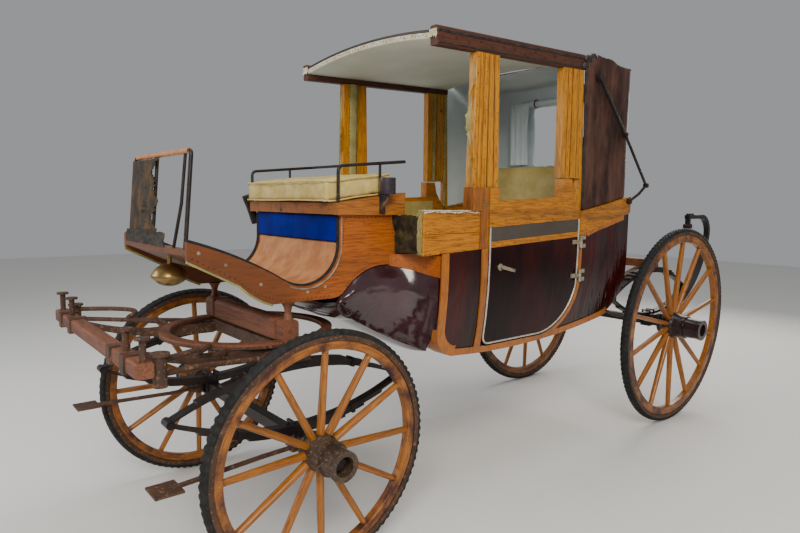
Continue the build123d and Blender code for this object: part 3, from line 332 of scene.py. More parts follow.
SURFACE = "Color:Color Height:Float Mask:Float"
BOARD = Effect(
    "board_grain", "Vector:Vector Light:Color Dark:Color Grime:Color Stain:Float Place:Vector", SURFACE, board_rule
)
PAINT = Effect("paint_over", "Under:Color Paint:Color Share:Float Height:Float", SURFACE, paint_rule)
COAT = Effect(
    "worn_coat", "Vector:Vector Coat:Color Second:Color Bare:Color Wear:Float Scale:Float", SURFACE, coat_rule
)
HIDE = Effect("hide_grain", "Vector:Vector Hide:Color Rubbed:Color Stretch:Vector Cell:Float", SURFACE, hide_rule)
HUB = Effect("round_hub", "Vector:Vector Centre:Vector Rim:Float", "Vector:Vector Mask:Float", hub_rule)


# Finishes


@dataclass(frozen=True)
class Finish:
    """What every finish shares: a name and how its surface answers light."""

    name: str
    roughness: float
    coat: float
    _: KW_ONLY
    metallic: float = 0.0
    bump: float = 0.15
    relief: float = 0.001
    specular: float = 0.35
    ripple: float = 0.0

    def pattern(self, net: Net, coords: Socket) -> Node:
        """Add the finish's pattern node, which puts out Color, Height and Mask."""
        raise NotImplementedError

    def material(self) -> bpy.types.Material:
        """Return the finish's material, made the first time it is asked for."""
        found = bpy.data.materials.get(self.name)
        if found:
            return found
        made = bpy.data.materials.new(self.name)
        made.use_nodes = True
        net = Net(made.node_tree)
        coords = net.add("TexCoord", {}).outputs["Object"]
        pattern = self.pattern(net, coords).outputs
        grain = {"Strength": self.bump, "Distance": self.relief, "Height": pattern["Height"]}
        if self.ripple:
            waves = net.noise(net.mapped(coords, RIPPLE_STRETCH), 1.0, 3.0, 0.55)
            slow = net.add("Bump", {"Strength": 1.0, "Distance": self.ripple, "Height": waves})
            grain["Normal"] = slow.outputs["Normal"]
        surface = {
            "Base Color": pattern["Color"],
            "Roughness": net.maths("MULTIPLY_ADD", pattern["Mask"], ROUGH_SPAN, self.roughness),
            "Normal": net.add("Bump", grain).outputs["Normal"],
            "Metallic": self.metallic,
            "Specular IOR Level": self.specular,
            "Coat Weight": self.coat,
            "Coat Roughness": COAT_ROUGHNESS,
        }
        for label, value in surface.items():
            net.join(value, net.tree.nodes["Principled BSDF"].inputs[label])
        return made


@dataclass(frozen=True)
class Timber(Finish):
    """Varnished or weathered wood with its grain along one axis."""

    light: Color
    dark: Color
    stain: float
    grain: Grain = Grain.ALONG_X

    def board(self, net: Net, vector: Socket, place: Socket) -> Node:
        """Add the board group in this timber's colours."""
        colours = {"Light": (*self.light, 1), "Dark": (*self.dark, 1), "Grime": GRIME, "Stain": self.stain}
        return BOARD.place(net, Vector=vector, Place=place, **colours)

    def pattern(self, net: Net, coords: Socket) -> Node:
        """Stretch the coordinates along the grain and add the board group."""
        return self.board(net, net.mapped(coords, self.grain.value), coords)


@dataclass(frozen=True)
class Fading(Timber):
    """Timber that turns darker between two places on X, where it is handled and trodden on."""

    start: float = 1.20
    end: float = 1.42

    def pattern(self, net: Net, coords: Socket) -> Node:
        """Lay the darker tone over the board's colour by its X.

        Args:
            net: The material's net.
            coords: The object coordinates.

        Returns:
            The node that puts out the pattern.
        """
        board = super().pattern(net, coords).outputs
        x = net.add("SeparateXYZ", {0: coords}).outputs["X"]
        span = net.add("MapRange", {"Value": x, "From Min": self.start, "From Max": self.end, "To Max": 0.72})
        share = span.outputs["Result"]
        return PAINT.place(net, Under=board["Color"], Paint=TRODDEN, Share=share, Height=board["Height"])


@dataclass(frozen=True)
class Wheelwork(Timber):
    """Wheel timber: grain along each spoke and round the rim, maroon paint left on the rim."""

    centre: Point = (0.0, 0.0, 0.0)
    rim: float = 0.4

    def pattern(self, net: Net, coords: Socket) -> Node:
        """Bend the coordinates round the hub and paint the rim in patches.

        Args:
            net: The material's net.
            coords: The object coordinates.

        Returns:
            The node that puts out the pattern.
        """
        bent = HUB.place(net, Vector=coords, Centre=self.centre, Rim=self.rim).outputs
        board = self.board(net, bent["Vector"], coords).outputs
        left = net.ramp(net.noise(coords, 9.0, 6.0, 0.65), 0.42, 0.62)
        share = net.maths("MULTIPLY", left, bent["Mask"])
        return PAINT.place(net, Under=board["Color"], Paint=RIM_PAINT, Share=share, Height=board["Height"])


@dataclass(frozen=True)
class Coat(Finish):
    """Paint, varnish, rubber, iron or cloth that is worn in patches."""

    first: Color
    second: Color
    bare: Color
    wear: float
    scale: float
    stretch: Point = (1.0, 1.0, 1.0)

    def pattern(self, net: Net, coords: Socket) -> Node:
        """Add the worn coat group at the finish's scale."""
        colours = {"Coat": (*self.first, 1), "Second": (*self.second, 1), "Bare": (*self.bare, 1)}
        return COAT.place(net, Vector=net.mapped(coords, self.stretch), Wear=self.wear, Scale=self.scale, **colours)


@dataclass(frozen=True)
class Hide(Finish):
    """Leather with a pebbled grain and rubbed streaks."""

    hide: Color
    rubbed: Color
    stretch: Point
    cell: float = 260.0

    def pattern(self, net: Net, coords: Socket) -> Node:
        """Add the leather group with its streaks' stretch."""
        colours = {"Hide": (*self.hide, 1), "Rubbed": (*self.rubbed, 1)}
        return HIDE.place(net, Vector=coords, Stretch=self.stretch, Cell=self.cell, **colours)


class Palette:
    """Every finish on the carriage, each with its roughness and coat after its name."""

    # then light, dark, stain and grain
    POST = Timber("post_yellow_oak", 0.42, 0.12, (0.52, 0.215, 0.007), (0.16, 0.042, 0.003), 0.85, Grain.ALONG_Z)
    RAIL = Timber("rail_orange_oak", 0.40, 0.15, (0.47, 0.170, 0.006), (0.13, 0.032, 0.003), 0.88)
    PLATE = Fading("plate_red_oak", 0.40, 0.15, (0.36, 0.092, 0.008), (0.13, 0.028, 0.004), 0.75)
    CHEEK = Timber("seat_cracked_oak", 0.5, 0.05, (0.34, 0.115, 0.016), (0.07, 0.020, 0.007), 0.9)
    FOOT = Timber("foot_brown_oak", 0.5, 0.05, (0.17, 0.055, 0.018), (0.07, 0.022, 0.010), 0.8)
    DARK = Timber("dark_block_oak", 0.42, 0.15, (0.17, 0.050, 0.012), (0.055, 0.014, 0.006), 0.7, Grain.ALONG_Z)
    CANTRAIL = Timber("cantrail_old_oak", 0.55, 0.0, (0.085, 0.028, 0.014), (0.025, 0.010, 0.007), 0.8)
    MOULDING = Timber("moulding_ochre_oak", 0.36, 0.25, (0.40, 0.125, 0.010), (0.15, 0.038, 0.006), 0.6, Grain.ALONG_Z)
    BLOCK = Timber("pillar_brown_oak", 0.42, 0.15, (0.30, 0.098, 0.012), (0.085, 0.024, 0.005), 0.75, Grain.ALONG_Z)
    UNDER = Timber("under_red_timber", 0.6, 0.0, (0.20, 0.070, 0.034), (0.065, 0.024, 0.014), 0.8, Grain.ALONG_Y)
    # then hide, rubbed, stretch and cell
    HOOD = Hide(
        "streaked_hood_hide", 0.42, 0.0, (0.026, 0.0115, 0.0085), (0.098, 0.045, 0.032), (4.5, 4.5, 1.3), 340.0,
        specular=0.18, bump=0.4, relief=0.002,
    )
    CREAM = Hide(
        "cream_cushion_hide", 0.48, 0.05, (0.50, 0.370, 0.105), (0.64, 0.515, 0.215), (5.0, 5.0, 5.0), 420.0, bump=0.25
    )
    BACK = Hide(
        "khaki_back_leather", 0.5, 0.05, (0.38, 0.285, 0.082), (0.47, 0.370, 0.130), (4.0, 4.0, 4.0), 420.0, bump=0.2
    )
    TAN = Hide(
        "tan_apron_hide", 0.5, 0.05, (0.40, 0.150, 0.048), (0.56, 0.265, 0.110), (4.0, 4.0, 4.0), 420.0, bump=0.2
    )
    TORN = Hide(
        "dash_old_leather", 0.45, 0.05, (0.016, 0.010, 0.005), (0.11, 0.057, 0.015), (6.0, 6.0, 4.0), 200.0,
        bump=0.6, specular=0.12,
    )
    BINDING = Hide(
        "black_binding_leather", 0.4, 0.1, (0.012, 0.009, 0.009), (0.04, 0.03, 0.028), (9.0, 9.0, 9.0), bump=0.3
    )
    WORN = Hide(
        "grey_worn_leather", 0.6, 0.0, (0.018, 0.016, 0.014), (0.075, 0.060, 0.045), (5.0, 9.0, 9.0), 160.0,
        bump=0.7, specular=0.15,
    )
    SOOT = Hide(
        "recess_dark_cloth", 0.7, 0.0, (0.008, 0.006, 0.004), (0.060, 0.045, 0.014), (7.0, 7.0, 7.0), 180.0, bump=0.6
    )
    # then first, second and bare colour, wear, scale and stretch
    MAROON = Coat(
        "maroon_varnish", 0.09, 0.2, (0.009, 0.0009, 0.0008), (0.045, 0.0040, 0.0028), (0.12, 0.06, 0.05), 0.045, 3.4,
        (1.6, 1.0, 0.7), bump=0.10, relief=0.002, specular=0.26, ripple=0.012,
    )
    DOOR = Coat(
        "door_maroon_varnish", 0.09, 0.08, (0.006, 0.0007, 0.0006), (0.036, 0.0032, 0.0022), (0.12, 0.06, 0.05), 0.04,
        3.0, (1.6, 1.0, 0.7), bump=0.08, relief=0.002, specular=0.16, ripple=0.0035,
    )
    BOOT = Coat(
        "boot_patent_leather", 0.12, 0.6, (0.016, 0.004, 0.006), (0.050, 0.018, 0.024), (0.3, 0.22, 0.2), 0.02, 4.0,
        bump=0.2, relief=0.003, specular=0.5,
    )
    LINING = Coat(
        "hood_lining_cloth", 0.85, 0.0, (0.66, 0.75, 0.79), (0.55, 0.63, 0.66), (0.40, 0.38, 0.28), 0.05, 2.5, bump=0.1
    )
    CEILING = Coat(
        "ceiling_cloth", 0.7, 0.0, (0.75, 0.81, 0.75), (0.62, 0.66, 0.57), (0.28, 0.22, 0.14), 0.03, 1.6, bump=0.06
    )
    BLUE = Coat(
        "blue_box_cloth", 0.7, 0.0, (0.0010, 0.0055, 0.15), (0.002, 0.011, 0.27), (0.01, 0.012, 0.04), 0.06, 8.0,
        bump=0.1, specular=0.1,
    )
    BAND = Coat(
        "grey_belt_band", 0.5, 0.05, (0.052, 0.041, 0.032), (0.070, 0.058, 0.046), (0.02, 0.015, 0.012), 0.02, 5.0
    )
    BEAD = Coat(
        "bead_white_metal", 0.28, 0.0, (0.62, 0.60, 0.55), (0.42, 0.40, 0.36), (0.2, 0.15, 0.1), 0.08, 30.0,
        metallic=0.5,
    )
    PEWTER = Coat(
        "old_nickel_plate", 0.35, 0.0, (0.40, 0.35, 0.26), (0.24, 0.18, 0.11), (0.08, 0.05, 0.03), 0.14, 28.0,
        metallic=0.5,
    )
    IRON = Coat(
        "painted_black_iron", 0.42, 0.0, (0.014, 0.012, 0.013), (0.032, 0.021, 0.017), (0.12, 0.05, 0.025), 0.15, 16.0,
        metallic=0.3, bump=0.35,
    )
    RUST = Coat(
        "rusty_iron", 0.6, 0.0, (0.085, 0.040, 0.022), (0.032, 0.019, 0.014), (0.20, 0.11, 0.065), 0.2, 14.0,
        metallic=0.15, bump=0.5,
    )
    NAVE = Coat(
        "nave_old_paint", 0.42, 0.05, (0.036, 0.022, 0.016), (0.085, 0.055, 0.036), (0.2, 0.14, 0.08), 0.2, 22.0,
        metallic=0.25, bump=0.4,
    )
    REAR_NAVE = Coat(
        "nave_dark_paint", 0.25, 0.3, (0.012, 0.005, 0.007), (0.026, 0.011, 0.013), (0.10, 0.06, 0.05), 0.08, 20.0
    )
    RUBBER = Coat(
        "tyre_old_rubber", 0.68, 0.0, (0.008, 0.0075, 0.0075), (0.020, 0.0185, 0.0175),
        (0.075, 0.068, 0.058), 0.15, 24.0, bump=0.6, relief=0.003, specular=0.25,
    )
    BRASS = Coat(
        "gong_brass", 0.3, 0.0, (0.42, 0.28, 0.10), (0.24, 0.14, 0.05), (0.10, 0.06, 0.03), 0.05, 12.0, metallic=0.9
    )
    STEEL = Coat(
        "socket_steel", 0.18, 0.0, (0.055, 0.040, 0.050), (0.15, 0.12, 0.14), (0.10, 0.05, 0.04), 0.06, 16.0,
        metallic=0.85,
    )
    TAPE = Coat("edge_tape", 0.75, 0.0, (0.60, 0.57, 0.45), (0.42, 0.36, 0.22), (0.2, 0.14, 0.07), 0.14, 22.0, bump=0.3)
    OLIVE = Coat(
        "olive_padding_cloth", 0.8, 0.0, (0.33, 0.29, 0.11), (0.22, 0.19, 0.07), (0.10, 0.07, 0.03), 0.1, 14.0, bump=0.3
    )
    FLOOR = Coat(
        "studio_floor", 0.8, 0.0, (0.80, 0.79, 0.765), (0.78, 0.77, 0.745), (0.78, 0.77, 0.745), 0.0, 0.7,
        bump=0.0, specular=0.2,
    )


# Mesh helpers


def placed(name: str, data: bpy.types.ID) -> bpy.types.Object:
    """Add an object to the scene.

    Args:
        name: Its name.
        data: Its mesh, light or camera.

    Returns:
        The object.
    """
    thing = bpy.data.objects.new(name, data)
    bpy.context.scene.collection.objects.link(thing)
    return thing


def finish_piece(
    name: str,
    shape: Shape,
    finish: Finish,
    slot: str,
    body: str = "body",
    pair: bool = False,
    smooth: bool = True,
    replaced: str = "",
) -> bpy.types.Object:
    """Close a mesh into an object that rides on a body.

    Args:
        name: The piece's name.
        shape: Its mesh, in place, which is freed.
        finish: What it is dressed in.
        slot: The record's material slot; not used.
        body: The CAD body that it moves with.
        pair: Whether its mirror image across the middle plane belongs to it.
        smooth: Whether its faces are shaded smooth.
        replaced: The CAD node that it stands for.

    Returns:
        The new object.
    """
    if pair:
        made = bmesh.ops.duplicate(shape, geom=[*shape.verts, *shape.edges, *shape.faces])
        bmesh.ops.scale(shape, vec=(1, -1, 1), verts=[g for g in made["geom"] if isinstance(g, bmesh.types.BMVert)])
    bmesh.ops.remove_doubles(shape, verts=shape.verts, dist=WELD)
    bmesh.ops.recalc_face_normals(shape, faces=shape.faces)
    for face in shape.faces:
        face.smooth = smooth
    mesh = bpy.data.meshes.new(name)
    shape.to_mesh(mesh)
    shape.free()
    mesh.materials.append(finish.material())
    piece = placed(name, mesh)
    if smooth:
        mesh.set_sharp_from_angle(angle=SHARP_ANGLE)
    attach(piece, body)
    if replaced:
        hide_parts(replaced)
    LOG.info("piece %s: %d faces, rides on %s", name, len(mesh.polygons), body)
    return piece


def door_piece(side: Side, word: str, shape: Shape, finish: Finish, slot: str, smooth: bool = True) -> None:
    """Hang a piece that is shaped for the left door on either door.

    Args:
        side: The door's side.
        word: The end of the piece's name.
        shape: Its mesh on the left door, which is freed.
        finish: What it is dressed in.
        slot: The record's material slot, passed on to finish_piece.
        smooth: Whether its faces are shaded smooth.
    """
    if side is Side.RIGHT:
        bmesh.ops.scale(shape, vec=(1, -1, 1), verts=shape.verts)
        bmesh.ops.reverse_faces(shape, faces=shape.faces)
    finish_piece(f"door_{side.word}_{word}", shape, finish, slot, f"door_{side.word}", smooth=smooth)


def dress(finish: Finish, *nodes: str) -> None:
    """Give CAD nodes their finish.

    Args:
        finish: What they are dressed in.
        nodes: Their names.
    """
    for node in nodes:
        materials = FRAME["nodes"][node].data.materials
        materials.clear()
        materials.append(finish.material())
        LOG.info("node %s wears %s", node, finish.name)


def slab(shape: Shape, outline: Sequence[Vector], push: Vector, edge: float = 0.0, segments: int = 2) -> None:
    """Raise a board from a flat outline and round its edges.

    Args:
        shape: The mesh that takes the board.
        outline: Its corners in order.
        push: The way and distance that it is thick.
        edge: The bevel's width, or 0 for none.
        segments: How many segments the bevel has.
    """
    before = set(shape.verts)
    face = shape.faces.new([shape.verts.new(p) for p in outline])
    raised = bmesh.ops.extrude_face_region(shape, geom=[face])
    bmesh.ops.translate(shape, verts=[g for g in raised["geom"] if isinstance(g, bmesh.types.BMVert)], vec=push)
    if edge > 0:
        edges = list({e for v in shape.verts if v not in before for e in v.link_edges})
        bmesh.ops.bevel(
            shape, geom=edges, offset=edge, offset_type="OFFSET", segments=segments,
            profile=0.5, affect="EDGES", clamp_overlap=True, material=-1,
        )


def plank(shape: Shape, outline: Line, y: float, thick: float, edge: float = 0.0, segments: int = 2) -> None:
    """Raise a board from its outline seen from the side.

    Args:
        shape: The mesh that takes the board.
        outline: Its corners, as stations and heights.
        y: The half width where the outline lies.
        thick: Its thickness in metres, outward where positive.
        edge: The bevel's width, or 0 for none.
        segments: How many segments the bevel has.
    """
    slab(shape, [mm(x, y, z) for x, z in outline], Vector((0, thick, 0)), edge, segments)


def tube(
    shape: Shape,
    path: Sequence[Vector],
    radius: float | Sequence[float],
    segments: int = 12,
    flat: float = 1.0,
    up: Vector = UP,
) -> None:
    """Bridge circles along a path into a closed rod.

    Args:
        shape: The mesh that takes the rod.
        path: The points of its middle line.
        radius: One radius, or one for each point.
        segments: How many sides it has.
        flat: The section's height as a share of its width.
        up: The way the section's height points, where it isn't round.
    """
    last = len(path) - 1
    radii = [radius] * len(path) if isinstance(radius, float) else radius
    rings: list[list[bmesh.types.BMEdge]] = []
    previous = None
    for index, point in enumerate(path):
        forward = (path[min(index + 1, last)] - path[max(index - 1, 0)]).normalized()
        across = up.cross(forward)
        if across.length < 1e-4:
            across = Vector((1, 0, 0)) if previous is None else previous
        across.normalize()
        if previous is not None and across.dot(previous) < 0:
            across = -across
        previous = across
        frame = Matrix((across, forward.cross(across), forward)).transposed().to_4x4()
        frame.translation = point
        frame = frame @ Matrix.Diagonal((1.0, flat, 1.0, 1.0))
        capped = index in (0, last)
        made = bmesh.ops.create_circle(shape, cap_ends=capped, radius=radii[index], segments=segments, matrix=frame)
        edges = list({e for v in made["verts"] for e in v.link_edges if all(q in made["verts"] for q in e.verts)})
        if capped:
            edges = [e for e in edges if len(e.link_faces) <= 1]
        rings.append(edges)
    for first, second in zip(rings, rings[1:]):
        bmesh.ops.bridge_loops(shape, edges=first + second)


def smooth_path(points: Sequence[Vector], steps: int = 6) -> list[Vector]:
    """Return points on a smooth curve through the given ones.

    Args:
        points: The points, three or more.
        steps: How many points each stretch gets.

    Returns:
        The curve's points.
    """
    out: list[Vector] = []
    ends = [points[0] * 2 - points[1], *points, points[-1] * 2 - points[-2]]
    for i in range(1, len(ends) - 2):
        a, b, c, d = ends[i - 1 : i + 3]
        for k in range(steps):
            t = k / steps
            square, cube = 2 * a - 5 * b + 4 * c - d, 3 * b - a - 3 * c + d
            out.append(0.5 * ((2 * b) + (c - a) * t + square * t * t + cube * t**3))
    out.append(points[-1].copy())
    return out


def knob(shape: Shape, centre: Vector, radius: float, outward: Vector, height: float = 0.45) -> None:
    """Set a low domed nail head on a surface.

    Args:
        shape: The mesh that takes it.
        centre: Where it sits.
        radius: Its radius.
        outward: The way it points.
        height: Its height as a share of its radius.
    """
    turn = UP.rotation_difference(outward).to_matrix().to_4x4()
    place = Matrix.Translation(centre) @ turn @ Matrix.Diagonal((1, 1, height, 1))
    bmesh.ops.create_icosphere(shape, subdivisions=1, radius=radius, matrix=place)


def knobs(shape: Shape, places: Iterable[Pair], y: float, radius: float, height: float = 0.3) -> None:
    """Set nail heads that point outward at stations and heights on the left side."""
    for x, z in places:
        knob(shape, mm(x, y, z), radius, OUTWARD, height)


def spun(half: Line, crown: Line, steps: int, place: Matrix) -> Shape:
    """Spin a closed ring about Y and set it in place.

    Args:
        half: The (radius, y) points of its section up to the middle, mirrored for the rest.
        crown: The points between the two halves.
        steps: How many steps the ring has.
        place: Where it goes.

    Returns:
        The ring.
    """
    shape = bmesh.new()
    section = [*half, *crown, *((r, -y) for r, y in reversed(half))]
    corners = [shape.verts.new((0.0, y, r)) for r, y in section]
    edges = [shape.edges.new((a, b)) for a, b in zip(corners, corners[1:] + corners[:1])]
    bmesh.ops.spin(
        shape, geom=corners + edges, cent=(0, 0, 0), axis=(0, 1, 0), dvec=(0, 0, 0),
        angle=2 * pi, steps=steps, use_merge=True, use_duplicate=False,
    )
    bmesh.ops.transform(shape, matrix=place, verts=shape.verts)
    return shape


def draped(columns: int, rows: int, place: Rule, thick: float) -> Shape:
    """Shape a grid by a rule and give it a wall.

    Args:
        columns: Cells along the first share.
        rows: Cells along the second share.
        place: Where a point goes, from its two shares between 0 and 1.
        thick: The wall's thickness, laid inside.

    Returns:
        The closed sheet.
    """
    shape = bmesh.new()
    bmesh.ops.create_grid(shape, x_segments=columns, y_segments=rows, size=0.5)
    for vert in shape.verts:
        vert.co = place(vert.co.x + 0.5, vert.co.y + 0.5)
    bmesh.ops.recalc_face_normals(shape, faces=shape.faces)
    bmesh.ops.solidify(shape, geom=shape.faces[:], thickness=thick)
    return shape


def rough(x: float, y: float, z: float) -> float:
    """Return smooth noise at a point."""
    return noise.noise(Vector((x, y, z)))


def frayed(share: float, depth: float, seed: float) -> float:
    """Return how far a torn edge is eaten in at a share of its length."""
    return depth * (0.5 + rough(share * 5.0, seed, 0.0) * 0.9 + rough(share * 31.0, seed, 3.0) * 0.45)


def through(a: Pair, b: Pair, c: Pair, steps: int) -> list[Pair]:
    """Return points on the arc through three points.

    Args:
        a: Where it starts.
        b: A point on the way.
        c: Where it ends.
        steps: How many steps it has.

    Returns:
        The points, both ends included.
    """
    (ax, ay), (bx, by), (cx, cy) = a, b, c
    d = 2 * (ax * (by - cy) + bx * (cy - ay) + cx * (ay - by))
    aa, bb, cc = ax**2 + ay**2, bx**2 + by**2, cx**2 + cy**2
    across = (aa * (by - cy) + bb * (cy - ay) + cc * (ay - by)) / d
    above = (aa * (cx - bx) + bb * (ax - cx) + cc * (bx - ax)) / d
    centre = Vector((across, above))
    start, middle, end = (Vector(p) - centre for p in (a, b, c))
    turn = start.angle_signed(middle) + middle.angle_signed(end)
    out = []
    for k in range(steps + 1):
        spoke = start.copy()
        spoke.rotate(Matrix.Rotation(-turn * k / steps, 2))
        out.append((centre.x + spoke.x, centre.y + spoke.y))
    return out


def read(points: Line, x: float) -> float:
    """Return the height of a line of points at a station.

    Args:
        points: The line's stations and heights.
        x: The station.

    Returns:
        The height between its neighbours, or the last point's past the ends.
    """
    for (x1, z1), (x2, z2) in zip(points, points[1:]):
        if min(x1, x2) <= x <= max(x1, x2) and x1 != x2:
            return z1 + (z2 - z1) * (x - x1) / (x2 - x1)
    return points[-1][1]


SKIN = [(z, y) for y, z in through((561.0, 1180.0), (553.0, 960.0), (509.0, 660.0), 40)]


def skin_y(z: float) -> float:
    """Return the half width of the lower body's curved side at a height."""
    return read(SKIN, z) if z < 1180.0 else 561.0


def belt(x: float) -> float:
    """Return the height of the tub's top edge at a station."""
    return 1191.0 + 0.05 * (2075.0 - x)


def roof_z(x: float) -> float:
    """Return the height of the roof's lower edge at a station."""
    return 2080.0 + 0.04366 * (2106.0 - x)


def seat_z(x: float) -> float:
    """Return the height of the box seat's board at a station."""
    return 1458.0 - 49.0 * (x - 2150.0) / 360.0


def soften(shape: Shape) -> None:
    """Smooth a mesh once along its three axes."""
    bmesh.ops.smooth_vert(shape, verts=shape.verts, factor=0.5, use_axis_x=True, use_axis_y=True, use_axis_z=True)


def even_form(shape: Shape, voxel: float) -> bpy.types.Object:
    """Turn a shape into an object of even faces.

    Args:
        shape: The closed shape, which is freed.
        voxel: The size of the faces.

    Returns:
        The object.
    """
    mesh = bpy.data.meshes.new("form")
    shape.to_mesh(mesh)
    shape.free()
    form = placed("form", mesh)
    remesh = form.modifiers.new("remesh", "REMESH")
    remesh.mode = "VOXEL"
    remesh.voxel_size = voxel
    even = bpy.data.meshes.new_from_object(form.evaluated_get(bpy.context.evaluated_depsgraph_get()))
    form.modifiers.clear()
    form.data = even
    return form


def padded_mesh(shape: Shape, voxel: float, cap: float) -> Shape:
    """Blow a closed form up into a cushion.

    Args:
        shape: The form, a little smaller than the cushion, which is freed.
        voxel: The size of the new faces.
        cap: How far a point may move.

    Returns:
        The cushion's mesh.
    """
    bmesh.ops.recalc_face_normals(shape, faces=shape.faces)
    form = even_form(shape, voxel)
    moved = [v.co.copy() for v in form.data.vertices]
    cloth = form.modifiers.new("cloth", "CLOTH")
    cloth.settings.use_pressure = True
    cloth.settings.uniform_pressure_force = CLOTH_PRESSURE
    cloth.settings.effector_weights.gravity = 0
    cloth.settings.quality = 4
    cloth.collision_settings.use_collision = False
    for step in range(1, CLOTH_STEPS + 1):
        bpy.context.scene.frame_set(step)
    blown = form.evaluated_get(bpy.context.evaluated_depsgraph_get())
    for index, vert in enumerate(blown.to_mesh().vertices):
        push = vert.co - moved[index]
        moved[index] = moved[index] + push * min(1.0, cap / max(push.length, 1e-6))
    blown.to_mesh_clear()
    form.modifiers.clear()
    bpy.context.scene.frame_set(1)
    out = bmesh.new()
    out.from_mesh(form.data)
    for vert, place in zip(out.verts, moved):
        vert.co = place
    soften(out)
    bpy.data.objects.remove(form)
    return out


def node_copy(node: str, voxel: float) -> Shape:
    """Copy a CAD node with even faces, ready to be shaped.

    Args:
        node: The node's name.
        voxel: The size of the new faces.

    Returns:
        The copy, smoothed twice.
    """
    merged = bmesh.new()
    merged.from_mesh(FRAME["nodes"][node].data)
    bmesh.ops.remove_doubles(merged, verts=merged.verts, dist=1e-5)
    form = even_form(merged, voxel)
    out = bmesh.new()
    out.from_mesh(form.data)
    bpy.data.objects.remove(form)
    soften(out)
    soften(out)
    out.normal_update()
    return out


def crease(shape: Shape, stretch: Point, depth: float, seed: float) -> None:
    """Push a mesh in and out along its normals by stretched noise.

    Args:
        shape: The mesh.
        stretch: How close the creases lie along each axis.
        depth: How deep they go.
        seed: Where in the noise they are read.
    """
    shape.normal_update()
    pushes = []
    for vert in shape.verts:
        spot = Vector((vert.co.x * stretch[0] + seed, vert.co.y * stretch[1], vert.co.z * stretch[2]))
        pushes.append(vert.normal * depth * noise.fractal(spot, 0.8, 2.2, 4))
    for vert, push in zip(shape.verts, pushes):
        vert.co += push


# The carriage


@dataclass
class Wheel:
    """One wheel's dressing: notched rubber tyre, steel channel, timber and nave."""

    end: str
    side: Side
    tyre_r: float
    steps: int
    nave: Finish
    tyre_depth: float = 0.028
    half_tread: float = 0.025
    half_channel: float = 0.021
    camber: float = 1.9
    half_track: float = 0.621
    half_crown: float = 0.017
    rim_depth: float = 0.088

    @property
    def node(self) -> str:
        """Return the start of the wheel's node names."""
        return f"{self.end}_{self.side.word}"

    def place(self) -> Matrix:
        """Return the matrix that sets a wheel made about Y on its axle arm."""
        low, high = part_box(f"{self.node}_tyre")
        lean = radians(self.camber)
        height = self.tyre_r * cos(lean) + self.half_crown * sin(lean)
        left = Matrix.Translation(((low.x + high.x) / 2, self.half_track, height)) @ Matrix.Rotation(-lean, 4, "X")
        return Matrix.Diagonal((1, self.side.value, 1, 1)) @ left

    def tyre(self) -> None:
        """Build the rubber tyre with a crowned tread and notched shoulders."""
        outer = self.tyre_r
        inner = outer - self.tyre_depth
        half = [
            (inner, -self.half_channel + 0.001),
            (inner + 0.006, -self.half_tread + 0.002),
            (inner + 0.014, -self.half_tread),
            (outer - 0.007, -self.half_tread + 0.002),
            (outer - 0.0015, -self.half_tread + 0.010),
        ]
        shape = spun(half, [(outer, 0.0)], self.steps, Matrix.Identity(4))
        for vert in shape.verts:
            x, y, z = vert.co
            radius = hypot(x, z)
            spoke = round(Vector((x, z)).angle_signed(Vector((0, 1)), 0.0) / (2 * pi) * self.steps)
            if radius > outer - 0.010 and abs(y) > 0.008 and spoke % 4 in (0, 1):
                worn = 0.5 + 0.5 * rough(x * 3, self.tyre_r * 7, z * 3)
                cut = (radius - 0.003 - 0.005 * worn) / radius
                vert.co = (x * cut, y * 0.90, z * cut)
        bmesh.ops.transform(shape, matrix=self.place(), verts=shape.verts)
        node = self.node
        finish_piece(f"{node}_rubber", shape, Palette.RUBBER, "tyre", f"wheel_{node}", replaced=f"{node}_tyre")

    def channel(self) -> None:
        """Build the steel channel that holds the rubber."""
        bed = self.tyre_r - self.tyre_depth
        lip = bed + 0.010
        half = self.half_channel + 0.001
        section = [(bed - 0.0118, -half), (lip, -half - 0.0015), (lip + 0.001, -half + 0.002), (bed, -half + 0.003)]
        shape = spun(section, [], 144, self.place())
        finish_piece(f"{self.node}_channel", shape, Palette.RUST, "black_iron", f"wheel_{self.node}")

    def build(self) -> None:
        """Build the wheel's pieces and dress its timber and nave."""
        self.tyre()
        self.channel()
        look = (f"{self.node}_wheel_oak", 0.38, 0.2, (0.33, 0.115, 0.013), (0.13, 0.034, 0.006), 0.55)
        oak = Wheelwork(*look, centre=tuple(self.place().translation), rim=self.tyre_r - self.rim_depth)
        dress(oak, f"{self.node}_spokes")
        dress(self.nave, f"{self.node}_nave")


